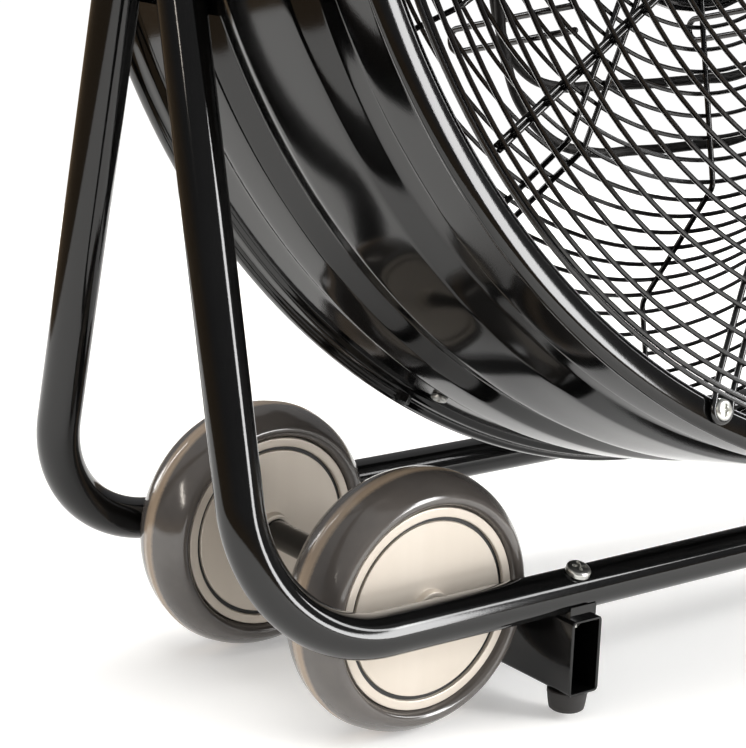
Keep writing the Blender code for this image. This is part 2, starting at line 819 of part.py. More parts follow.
def smooth(knots, step, most):
    """A round curve through the knots, read at even distances."""
    knots = np.array(knots, float)
    padded = np.vstack([2 * knots[0] - knots[1], knots, 2 * knots[-1] - knots[-2]])
    fine = []
    for i in range(1, len(padded) - 2):
        p0, p1, p2, p3 = padded[i - 1 : i + 3]
        for t in np.linspace(0, 1, 12, endpoint=False):
            fine.append(
                0.5
                * (
                    2 * p1
                    + (p2 - p0) * t
                    + (2 * p0 - 5 * p1 + 4 * p2 - p3) * t**2
                    + (3 * p1 - p0 - 3 * p2 + p3) * t**3
                )
            )
    fine = np.array(fine + [padded[-2]])
    run = np.concatenate([[0], np.cumsum(np.linalg.norm(np.diff(fine, axis=0), axis=1))])
    count = min(most, int(run[-1] / step) + 1)
    even = np.linspace(0, run[-1], count)
    return np.stack([np.interp(even, run, fine[:, n]) for n in range(3)], axis=1)


def add_cord(gland_y):
    route = cord_route(gland_y)
    line = bpy.data.curves.new("power_cord", "CURVE")
    line.dimensions = "3D"
    line.bevel_depth = CORD_R * MM
    line.bevel_resolution = 2
    line.use_fill_caps = True
    spline = line.splines.new("POLY")
    spline.points.add(len(route) - 1)
    for point, spot in zip(spline.points, route):
        point.co = (*(Vector(spot) * MM), 1.0)
    cord = bpy.data.objects.new("power_cord", line)
    bpy.context.scene.collection.objects.link(cord)
    cord.matrix_world = on_drum()
    line.materials.append(black_rubber("power_cord"))
    end = Vector(route[-1])
    way = (end - Vector(route[-2])).normalized()
    start = end + way * GAP
    loop = [(0, 0), (5.0, 0), (6.5, 14.0), (13.0, 18.0), (16.0, 26.0), (16.0, 42.0), (0, 42.0)]
    place = on_drum() @ Matrix.Translation(start * MM)
    turned("plug", loop, way, 14, place, black_plastic)


def main():
    clear_scene()
    add_frame()
    add_feet()
    add_axle()
    add_wheel("front", -1)
    add_wheel("rear", 1)
    add_drum_shell()
    add_front_guard()
    add_rear_guard()
    add_guard_screws()
    add_pivots()
    add_motor()
    add_fan()
    gland_y = add_switch()
    add_hooks()
    add_cord(gland_y)


main()
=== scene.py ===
"""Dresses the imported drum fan: tube sides, wheels, ribbed drum, guards, motor, switch and lead."""

import logging
import math
from dataclasses import dataclass, field
from enum import Enum
from typing import Callable, Sequence

import bpy
import numpy as np
from mathutils import Matrix


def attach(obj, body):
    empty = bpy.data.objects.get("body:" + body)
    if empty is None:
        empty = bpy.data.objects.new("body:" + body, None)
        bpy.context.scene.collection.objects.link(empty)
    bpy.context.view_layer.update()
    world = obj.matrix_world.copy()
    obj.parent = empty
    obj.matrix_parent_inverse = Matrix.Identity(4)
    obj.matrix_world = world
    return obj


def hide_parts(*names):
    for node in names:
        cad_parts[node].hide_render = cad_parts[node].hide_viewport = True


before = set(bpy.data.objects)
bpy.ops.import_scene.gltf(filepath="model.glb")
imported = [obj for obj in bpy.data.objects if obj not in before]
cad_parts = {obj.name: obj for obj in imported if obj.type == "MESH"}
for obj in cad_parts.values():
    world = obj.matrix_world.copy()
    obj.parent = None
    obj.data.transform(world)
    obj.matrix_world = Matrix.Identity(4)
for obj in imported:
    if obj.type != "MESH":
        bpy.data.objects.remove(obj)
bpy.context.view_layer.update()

LOG = logging.getLogger("drum_fan")
Array = np.ndarray
Socket = bpy.types.NodeSocket
MM = 0.001
TILT = math.radians(13.0)
PIVOT = np.array([0.0, -13.8, 420.0])
BEHIND = 13.8
UP = np.array([0.0, 0.0, 1.0])
ACROSS = np.array([1.0, 0.0, 0.0])
FORWARD = np.array([0.0, -1.0, 0.0])


class Side(Enum):
    """Which end of the object's depth a piece belongs to."""

    FRONT = -1
    REAR = 1


class Hand(Enum):
    """Left is the wheel end."""

    LEFT = -1
    RIGHT = 1


# ------------------------------------------------------------------ surfaces


@dataclass
class Shell:
    """Points in millimetres, with the four- and three-cornered faces over them."""

    points: Array
    quads: Array
    tris: Array = field(default_factory=lambda: np.zeros((0, 3), int))

    def moved(self, turn: Array, to: Array) -> "Shell":
        """The same faces on turned and shifted points.

        Args:
            turn: A 3 by 3 rotation.
            to: The shift in millimetres.

        Returns:
            The moved shell.
        """
        return Shell(self.points @ turn.T + to, self.quads, self.tris)

    def outward(self) -> "Shell":
        """Turns every face round when the signed volume, a sum of a . (b x c) / 6, is negative.

        Returns:
            A shell whose faces point out.
        """
        halves = np.concatenate([self.quads[:, [0, 1, 2]], self.quads[:, [0, 2, 3]], self.tris])
        a, b, c = (self.points[halves[:, k]] for k in range(3))
        if np.einsum("ij,ij->", a, np.cross(b, c)) < 0:
            return Shell(self.points, self.quads[:, ::-1], self.tris[:, ::-1])
        return self


def merged(shells: Sequence[Shell]) -> Shell:
    """Several shells as one, their indices shifted by the points before them.

    Args:
        shells: The shells to put together.

    Returns:
        One shell.
    """
    starts = np.cumsum([0] + [len(s.points) for s in shells[:-1]])
    quads = [s.quads + n for s, n in zip(shells, starts)]
    tris = [s.tris + n for s, n in zip(shells, starts)]
    points = np.concatenate([s.points for s in shells])
    return Shell(points, np.concatenate(quads), np.concatenate(tris))


def grid_shell(grid: Array, wrap_rows: bool, wrap_columns: bool, caps: bool = False) -> Shell:
    """Faces over a grid of points: cell (i, j) joins it to (i+1, j), (i+1, j+1) and (i, j+1).

    Args:
        grid: Points, shaped rows by columns by 3.
        wrap_rows: Whether the last row meets the first.
        wrap_columns: Whether the last column meets the first.
        caps: Whether a fan of triangles closes the first and last rows.

    Returns:
        The shell, facing out where it is closed.
    """
    rows, columns, _ = grid.shape
    points = grid.reshape(-1, 3)
    i = np.arange(rows if wrap_rows else rows - 1)[:, None]
    j = np.arange(columns if wrap_columns else columns - 1)[None, :]
    below, beside = (i + 1) % rows, (j + 1) % columns
    corners = [i * columns + j, below * columns + j, below * columns + beside, i * columns + beside]
    quads = np.stack([np.broadcast_to(c, (len(i), j.shape[1])).ravel() for c in corners], axis=1)
    tris = np.zeros((0, 3), int)
    if caps:
        ring = np.arange(columns)
        after = (ring + 1) % columns
        total, far = len(points), (rows - 1) * columns
        points = np.concatenate([points, grid[0].mean(0)[None], grid[-1].mean(0)[None]])
        first = np.stack([np.full(columns, total), ring, after], axis=1)
        last = np.stack([np.full(columns, total + 1), after + far, ring + far], axis=1)
        tris = np.concatenate([first, last])
    return Shell(points, quads, tris).outward()


def full_turn(steps: int) -> Array:
    """Even angles round a whole turn, as one row."""
    return np.linspace(0.0, 2.0 * math.pi, steps, endpoint=False)[None, :]


def turned(profile: Array, sides: int, closed: bool = True) -> Shell:
    """A profile of (radius, height) carried round the third axis: (r cos t, r sin t, h).

    Args:
        profile: The outline, closed on itself or running from axis to axis.
        sides: Steps round the axis.
        closed: Whether the outline's end meets its start; if not, its ends are capped.

    Returns:
        The turned shell.
    """
    t = full_turn(sides)
    return grid_shell(swept(profile[:, :1], profile[:, 1:], t), closed, True, caps=not closed)


def spread_rows(rows: Sequence[tuple]) -> list[Array]:
    """The columns of a table, each stood up so that it spreads over a grid's rows."""
    return [column[:, None] for column in np.array(rows, float).T]


def swept(reach: Array, height: Array, angle: Array) -> Array:
    """A grid of points round the third axis: (r cos t, r sin t, h).

    Args:
        reach: The radius over rows and angles.
        height: The height of each row.
        angle: The angles.

    Returns:
        Points, shaped rows by angles by 3.
    """
    return np.stack([reach * np.cos(angle), reach * np.sin(angle), height + 0.0 * angle], axis=-1)


def rounded(outline: Array, times: int = 2, share: float = 0.25, closed: bool = False) -> Array:
    """Corners cut at a share of each side, again and again, which leaves a smooth outline.

    Args:
        outline: Points in two or three dimensions.
        times: How often the corners are cut.
        share: The part of a side that each cut takes.
        closed: Whether the outline's end meets its start.

    Returns:
        The smoother outline.
    """
    for _ in range(times):
        after = np.roll(outline, -1, axis=0)
        near = outline + share * (after - outline)
        far = outline + (1.0 - share) * (after - outline)
        cut = np.stack([near, far], axis=1).reshape(-1, outline.shape[1])
        if closed:
            outline = cut
        else:
            outline = np.concatenate([outline[:1], cut[1:-3], outline[-1:]])
    return outline


def carried(path: Array, radius: Array | float, sides: int, normal: Array, closed: bool) -> Shell:
    """A round section carried along a flat path: p + r (n cos a + (t x n) sin a).

    Args:
        path: The middle line's points.
        radius: One radius, or one for each point.
        sides: Steps round the section.
        normal: The direction square to the path's plane.
        closed: Whether the path's end meets its start.

    Returns:
        The tube's shell.
    """
    if closed:
        way = np.roll(path, -1, axis=0) - np.roll(path, 1, axis=0)
    else:
        way = np.gradient(path, axis=0)
    way /= np.linalg.norm(way, axis=1, keepdims=True)
    first = normal - (way @ normal)[:, None] * way
    first /= np.linalg.norm(first, axis=1, keepdims=True)
    second = np.cross(way, first)
    a = full_turn(sides)[..., None]
    reach = np.broadcast_to(np.asarray(radius, float), (len(path),))[:, None, None]
    grid = path[:, None] + reach * (first[:, None] * np.cos(a) + second[:, None] * np.sin(a))
    return grid_shell(grid, closed, True, caps=not closed)


def round_ended(path: Array, radius: float, steps: int = 5) -> tuple[Array, Array]:
    """A path and its radii with a half ball at both ends: r cos a wide at r sin a further on.

    Args:
        path: The middle line's points.
        radius: The bar's radius.
        steps: Rings in each half ball.

    Returns:
        The longer path and the radius at each of its points.
    """
    a = np.linspace(0.0, 1.45, steps)[1:]
    start = path[0] - path[1]
    end = path[-1] - path[-2]
    start = start / np.linalg.norm(start)
    end = end / np.linalg.norm(end)
    lead = path[0] + radius * np.sin(a)[::-1, None] * start
    tail = path[-1] + radius * np.sin(a)[:, None] * end
    ends = radius * np.cos(a)
    radii = np.concatenate([ends[::-1], np.full(len(path), radius), ends])
    return np.concatenate([lead, path, tail]), radii


def smooth_line(knots: Array, count: int) -> Array:
    """A Catmull-Rom curve through the knots, read again at even distances.

    Args:
        knots: The route's own points.
        count: How many points to read.

    Returns:
        The even points.
    """
    padded = np.concatenate([2 * knots[:1] - knots[1:2], knots, 2 * knots[-1:] - knots[-2:-1]])
    p0, p1, p2, p3 = (padded[k : len(padded) - 3 + k, None] for k in range(4))
    t = np.linspace(0.0, 1.0, 24, endpoint=False)[None, :, None]
    bent = (2 * p0 - 5 * p1 + 4 * p2 - p3) * t**2 + (3 * p1 - p0 - 3 * p2 + p3) * t**3
    fine = (0.5 * (2 * p1 + (p2 - p0) * t + bent)).reshape(-1, 3)
    fine = np.concatenate([fine, knots[-1:]])
    run = np.concatenate([[0.0], np.cumsum(np.linalg.norm(np.diff(fine, axis=0), axis=1))])
    even = np.linspace(0.0, run[-1], count)
    return np.stack([np.interp(even, run, fine[:, k]) for k in range(3)], axis=1)


def onto(axis: Array, start: Array | None = None) -> Array:
    """A rotation that takes the third axis onto a direction.

    Args:
        axis: Where the third axis goes.
        start: Roughly where the first axis goes.

    Returns:
        A 3 by 3 rotation.
    """
    third = np.asarray(axis, float) / np.linalg.norm(axis)
    guess = start if start is not None else (ACROSS if abs(third[0]) < 0.9 else UP)
    first = guess - guess @ third * third
    first /= np.linalg.norm(first)
    return np.stack([first, np.cross(third, first), third], axis=1)


def drum_turn() -> Array:
    """The drum's tilt about the first axis, which lifts its mouth, as a rotation."""
    c, s = math.cos(TILT), math.sin(TILT)
    return np.array([[1.0, 0.0, 0.0], [0.0, c, s], [0.0, -s, c]])


def radial(degrees: float) -> Array:
    """The drum's own outward direction at an angle from its right-hand side."""
    a = math.radians(degrees)
    return np.array([math.cos(a), 0.0, math.sin(a)])


def in_drum(shell: Shell) -> Shell:
    """A shell in the drum's own axes, put where the tilted drum is."""
    return shell.moved(drum_turn(), PIVOT)


def facing_out(shell: Shell) -> Shell:
    """A shell turned about the third axis, laid along the drum's axis, its height forward."""
    return shell.moved(onto(FORWARD), np.zeros(3))


# ------------------------------------------------------------------ finishes


def linear(code: str) -> tuple[float, float, float, float]:
    """An sRGB hex colour as linear light: c/12.92 in the dark, ((c+0.055)/1.055)^2.4 above it.

    Args:
        code: Six hex digits.

    Returns:
        Red, green, blue and an alpha of one.
    """
    parts = [int(code[k : k + 2], 16) / 255 for k in (0, 2, 4)]
    light = [c / 12.92 if c <= 0.04045 else ((c + 0.055) / 1.055) ** 2.4 for c in parts]
    return (light[0], light[1], light[2], 1.0)


def add(
    tree: bpy.types.NodeTree, kind: str, links: dict | None = None, **settings
) -> bpy.types.Node:
    """Adds one node, with its settings and the links into it.

    Args:
        tree: The material's node tree.
        kind: Blender's name for the node.
        links: Input name or number to an output socket, or to a plain value.
        settings: The node's own properties.

    Returns:
        The new node.
    """
    node = tree.nodes.new(kind)
    for name, value in settings.items():
        setattr(node, name, value)
    for name, value in (links or {}).items():
        if isinstance(value, Socket):
            tree.links.new(value, node.inputs[name])
        else:
            node.inputs[name].default_value = value
    return node


def ramp(tree: bpy.types.NodeTree, driver: Socket, stops: Sequence) -> Socket:
    """A colour ramp over a value.

    Args:
        tree: The material's node tree.
        driver: What runs the ramp.
        stops: Pairs of place and colour, two or more.

    Returns:
        The ramp's colour.
    """
    node = add(tree, "ShaderNodeValToRGB", {"Fac": driver})
    points = node.color_ramp.elements
    for place, _ in stops[2:]:
        points.new(place)
    for point, (place, colour) in zip(points, stops):
        point.position = place
        point.color = colour
    return node.outputs["Color"]


@dataclass(frozen=True)
class Finish:
    """A surface: its colour, how it was made and the grain that gives it."""

    name: str
    colour: str
    second: str
    roughness: float
    spread: float
    metallic: float
    grain_mm: float
    depth_mm: float
    slot: str
    gloss: float = 0.5
    stretch: tuple[float, float, float] = (1.0, 1.0, 1.0)

    def start(self) -> tuple[bpy.types.Material, bpy.types.NodeTree, bpy.types.Node]:
        """A new material with its shader's plain settings.

        Returns:
            The material, its tree and its shader.
        """
        material = bpy.data.materials.new(self.name)
        material.use_nodes = True
        tree = material.node_tree
        shader = tree.nodes["Principled BSDF"]
        shader.inputs["Metallic"].default_value = self.metallic
        shader.inputs["Specular IOR Level"].default_value = self.gloss
        return material, tree, shader

    def place(self, tree: bpy.types.NodeTree) -> Socket:
        """Object coordinates, stretched along the way the surface was worked."""
        spot = add(tree, "ShaderNodeTexCoord").outputs["Object"]
        return add(tree, "ShaderNodeMapping", {"Vector": spot, "Scale": self.stretch}).outputs[0]

    def grain(self, tree: bpy.types.NodeTree, spot: Socket, detail: float = 3.0) -> Socket:
        """Fine noise whose cells are about the grain's size.

        Args:
            tree: The material's node tree.
            spot: The coordinates it reads.
            detail: How many finer layers it has.

        Returns:
            The noise's value.
        """
        inputs = {"Vector": spot, "Scale": 1.0 / (self.grain_mm * MM), "Detail": detail}
        return add(tree, "ShaderNodeTexNoise", inputs).outputs["Fac"]

    def made(self) -> bpy.types.Material:
        """The whole material: two mixed colours, uneven roughness and a fine bump.

        Returns:
            The material.
        """
        material, tree, shader = self.start()
        spot = self.place(tree)
        fine = self.grain(tree, spot)
        broad_inputs = {"Vector": spot, "Scale": 1.0 / 0.045, "Detail": 4.0, "Roughness": 0.6}
        broad = add(tree, "ShaderNodeTexNoise", broad_inputs).outputs["Fac"]
        colour = ramp(tree, broad, [(0.35, linear(self.colour)), (0.7, linear(self.second))])
        tree.links.new(self.tinted(tree, colour, fine), shader.inputs["Base Color"])
        limits = {"Value": broad, "To Min": self.roughness, "To Max": self.roughness + self.spread}
        rough = add(tree, "ShaderNodeMapRange", limits).outputs["Result"]
        tree.links.new(rough, shader.inputs["Roughness"])
        bump_inputs = {"Height": fine, "Distance": self.depth_mm * MM, "Strength": 1.0}
        bump = add(tree, "ShaderNodeBump", bump_inputs).outputs["Normal"]
        tree.links.new(bump, shader.inputs["Normal"])
        return material

    def tinted(self, tree: bpy.types.NodeTree, colour: Socket, fine: Socket) -> Socket:
        """The ground colour as it is; a finish with a pattern of its own changes it."""
        del tree, fine
        return colour


@dataclass(frozen=True)
class TyreFinish(Finish):
    """A solid grey tyre: satin sidewalls and a paler tan band round the tread's middle."""

    middle_mm: float = 0.0
    band_mm: float = 6.2
    fade_mm: float = 2.2
    band: str = "958471"

    def tinted(self, tree: bpy.types.NodeTree, colour: Socket, fine: Socket) -> Socket:
        """The band colour where the distance from the tyre's middle is under half the band.

        Args:
            tree: The material's node tree.
            colour: The ground colour.
            fine: The grain, which frays the band's edge.

        Returns:
            The mixed colour.
        """
        spot = add(tree, "ShaderNodeTexCoord").outputs["Object"]
        depth = add(tree, "ShaderNodeSeparateXYZ", {"Vector": spot}).outputs["Y"]
        off_links = {0: depth, 1: self.middle_mm * MM}
        off = add(tree, "ShaderNodeMath", off_links, operation="SUBTRACT").outputs[0]
        away = add(tree, "ShaderNodeMath", {0: off}, operation="ABSOLUTE").outputs[0]
        frayed_links = {0: fine, 1: 0.0012, 2: away}
        frayed = add(tree, "ShaderNodeMath", frayed_links, operation="MULTIPLY_ADD").outputs[0]
        half = self.band_mm * MM / 2
        limits = {"Value": frayed, "From Min": half, "From Max": half + self.fade_mm * MM}
        limits |= {"To Min": 1.0, "To Max": 0.0}
        share = add(tree, "ShaderNodeMapRange", limits).outputs["Result"]
        mixed = {"Factor": share, 6: colour, 7: linear(self.band)}
        return add(tree, "ShaderNodeMix", mixed, data_type="RGBA").outputs[2]


@dataclass(frozen=True)
class Finishes:
    """Every finish on the fan, named for what the real surface is."""

    # Stove enamel over pressed and bent steel: deep black, wet-looking, with a faint orange peel.
    enamel: Finish = Finish(
        "stove_enamel", "060606", "0A0A0A", 0.06, 0.05, 0.0, 0.9, 0.008, "black_enamel", gloss=0.42
    )
    # The same enamel on thin wire, where runs at the welds leave it a little duller.
    wire_enamel: Finish = Finish(
        "wire_enamel", "080808", "0E0D0C", 0.1, 0.1, 0.0, 0.9, 0.01, "black_enamel", gloss=0.6
    )
    # Zinc plate on rolled steel: bright with a cool haze.
    zinc: Finish = Finish(
        "zinc_plate", "C9C9C4", "A9A9A6", 0.22, 0.16, 1.0, 0.5, 0.01, "bright_zinc"
    )
    # Moulded rubber for feet and lead: matt, faintly dusty.
    rubber: Finish = Finish(
        "moulded_rubber", "1C1A19", "262423", 0.55, 0.2, 0.0, 0.35, 0.03, "black_rubber"
    )
    # Champagne-painted hub moulding: satin with a faint upright brush.
    hub: Finish = Finish(
        "champagne_moulding", "CCC3B7", "C3B9AC", 0.3, 0.1, 0.25, 0.5, 0.012, "hub_plastic",
        stretch=(1.0, 1.0, 0.03),
    )
    # Spark-eroded ABS for knobs, switch box and plug: even fine grain.
    abs: Finish = Finish(
        "grained_abs", "151515", "1D1D1D", 0.42, 0.12, 0.0, 0.45, 0.05, "black_plastic"
    )
    # Satin paint on a cast motor can: sand texture under the paint.
    can: Finish = Finish(
        "painted_casting", "1B1B1C", "242425", 0.38, 0.14, 0.0, 0.8, 0.06, "motor_paint"
    )
    # Turned steel for shaft and boss: fine rings of tool marks.
    steel: Finish = Finish(
        "turned_steel", "A8A8A8", "8F8F90", 0.2, 0.14, 1.0, 0.3, 0.01, "ground_steel"
    )
    # Rolled sheet aluminium blades: soft grey with mill lines.
    sheet: Finish = Finish(
        "mill_aluminium", "B4B5B8", "A2A3A6", 0.3, 0.14, 1.0, 0.6, 0.01, "blade_metal",
        stretch=(0.06, 1.0, 1.0),
    )


class Workshop:
    """Makes each finish once and puts finished shells into the scene as pieces."""

    def __init__(self) -> None:
        """Starts with no materials made."""
        self.finishes = Finishes()
        self.ready: dict[Finish, bpy.types.Material] = {}

    def material(self, finish: Finish) -> bpy.types.Material:
        """The material of a finish, made on first use."""
        if finish not in self.ready:
            self.ready[finish] = finish.made()
        return self.ready[finish]

    def piece(
        self, name: str, shell: Shell, finish: Finish, body: str,
        stands_for: Sequence[str] = (), sharp: float = 40.0,
    ) -> bpy.types.Object:
        """Puts a shell into the scene, dressed, riding a body and standing for CAD nodes.

        Args:
            name: The piece's name.
            shell: Its surface, in millimetres.
            finish: What it is finished in.
            body: The CAD body it moves with.
            stands_for: The CAD nodes it replaces.
            sharp: Edges folded by more than this many degrees stay sharp.

        Returns:
            The new object.
        """
        mesh = bpy.data.meshes.new(name)
        points = np.ascontiguousarray(shell.points * MM)
        faces = shell.quads.tolist() + shell.tris.tolist()
        mesh.from_pydata(points.tolist(), [], faces)
        mesh.update()
        mesh.shade_smooth()
        mesh.set_sharp_from_angle(angle=math.radians(sharp))
        mesh.materials.append(self.material(finish))
        made = bpy.data.objects.new(name, mesh)
        bpy.context.scene.collection.objects.link(made)
        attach(made, body)
        if stands_for:
            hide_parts(*stands_for)
        LOG.info("%s: %d faces on %s", name, len(faces), body)
        return made

    def dress(self, finish: Finish, *nodes: str) -> None:
        """Gives CAD nodes that are kept as they are a finish.

        Args:
            finish: The finish.
            nodes: The nodes' names.
        """
        for node in nodes:
            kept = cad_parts[node]
            kept.data.materials.clear()
            kept.data.materials.append(self.material(finish))


# ------------------------------------------------------------------ small parts


@dataclass(frozen=True)
class PanScrew:
    """A pan-head screw with a cross recess, its seat at height nought and its head above."""

    head_r: float = 6.0
    head_h: float = 3.4
    recess_r: float = 3.4
    arm: float = 0.62
    washer_r: float = 0.0
    shank_r: float = 2.0
    shank: float = 3.0

    def shell(self) -> Shell:
        """Head height h (1 - (r/R)^4)^0.5, less a recess where |x| or |y| is under the arm.

        Returns:
            The screw, its washer and a short shank.
        """
        r = self.head_r * np.sin(np.linspace(0.02, math.pi / 2, 34))[:, None]
        t = full_turn(96)
        x, y = r * np.cos(t), r * np.sin(t)
        dome = 0.45 * self.head_h + 0.55 * self.head_h * np.sqrt(1.0 - (r / self.head_r) ** 4)
        across = np.minimum(np.abs(x), np.abs(y))
        arm = np.clip((self.arm - across) / 0.16, 0.0, 1.0)
        inside = np.clip((self.recess_r - r) / 0.5, 0.0, 1.0)
        middle = np.clip((1.15 - r) / 0.3, 0.0, 1.0)
        sink = 1.5 * np.maximum(arm * inside, middle)
        top = np.stack([x, y, dome - sink + 0.0 * t], axis=-1)
        low = np.array([[self.head_r, 0.1], [self.head_r - 0.15, 0.0]])
        skirt = swept(low[:, :1], low[:, 1:], t)
        shells = [grid_shell(np.concatenate([top, skirt]), False, True, caps=True)]
        base = 0.0
        if self.washer_r:
            base = -1.0
            ring = np.array([[3.0, -1.0], [self.washer_r, -1.0], [self.washer_r, -0.1], [3.0, 0.0]])
            shells.append(turned(rounded(ring, 1, 0.2, closed=True), 48))
        stem = np.array([[0.01, base], [self.shank_r, base], [self.shank_r, base - self.shank]])
        stem = np.concatenate([stem, [[0.01, base - self.shank]]])
        shells.append(turned(stem, 24, closed=False))
        return merged(shells)


def hexagon(across: float, height: float) -> Shell:
    """A nut whose top corners are turned off.

    Args:
        across: Its size across the flats.
        height: Its height.

    Returns:
        The nut's shell, standing on height nought.
    """
    t = full_turn(48)
    flat = across / 2 / np.cos((t + math.pi / 6) % (math.pi / 3) - math.pi / 6)
    round_off = np.minimum(flat, across / 2 * 1.02)
    layers = [
        (0.01, 0.0, 0.0), (1.0, 0.0, 0.0), (1.0, 0.7, 0.0), (1.0, 1.0, 0.45), (0.55, 1.0, 0.0)
    ]
    share, lift, ease = spread_rows(layers)
    reach = share * (flat * (1 - ease) + ease * round_off)
    return grid_shell(swept(reach, lift * height, t), False, True, caps=True)


# ------------------------------------------------------------------ frame


@dataclass
class TubeFrame:
    """Front and rear loops of one bent tube each: leg, rail and leg, leaning in to the pivots."""

    shop: Workshop
    tube_r: float = 10.5
    rail_y: float = 95.2
    rail_z: float = 64.2
    leg_x: float = 349.1
    lean: float = 0.251
    bend_r: float = 68.0
    leg_top: float = 380.0
    sides: int = 56

    def loop_path(self, side: Side) -> tuple[Array, Array]:
        """Straight leg, quarter bend, rail, quarter bend and leg, in one leaning plane.

        Args:
            side: Which loop.

        Returns:
            The middle line and the plane's normal.
        """
        up = np.array([0.0, -side.value * self.lean, 1.0])
        up /= np.linalg.norm(up)
        foot = np.array([0.0, side.value * self.rail_y - BEHIND, self.rail_z])
        a = np.linspace(0.0, math.pi / 2, 33)[:, None]
        r = self.bend_r
        corner = foot - ACROSS * self.leg_x
        bend = corner + ACROSS * r * (1 - np.cos(a)) + up * r * (1 - np.sin(a))
        length = (self.leg_top - self.rail_z) / up[2]
        leg = corner + up * np.linspace(length, r + 4.0, 12)[:, None]
        rail = foot + ACROSS * np.linspace(-(self.leg_x - r - 4.0), 0.0, 20)[:, None]
        half = np.concatenate([leg, bend, rail])
        mirror = half[::-1][1:] * np.array([-1.0, 1.0, 1.0])
        return np.concatenate([half, mirror]), np.cross(ACROSS, up)

    def build(self) -> None:
        """Makes both loops, with domed weld caps on the leg tops, and dresses the plates."""
        enamel = self.shop.finishes.enamel
        for side in Side:
            word = side.name.lower()
            path, normal = self.loop_path(side)
            path, radii = round_ended(path, self.tube_r, 6)
            shell = carried(path, radii, self.sides, normal, False)
            parts = [f"{word}_rail"]
            parts += [
                f"{word}_{hand}_{part}" for hand in ("left", "right") for part in ("bend", "leg")
            ]
            self.shop.piece(f"{word}_tube_loop", shell, enamel, "frame", parts)
        self.shop.dress(enamel, "left_pivot_plate", "right_pivot_plate")


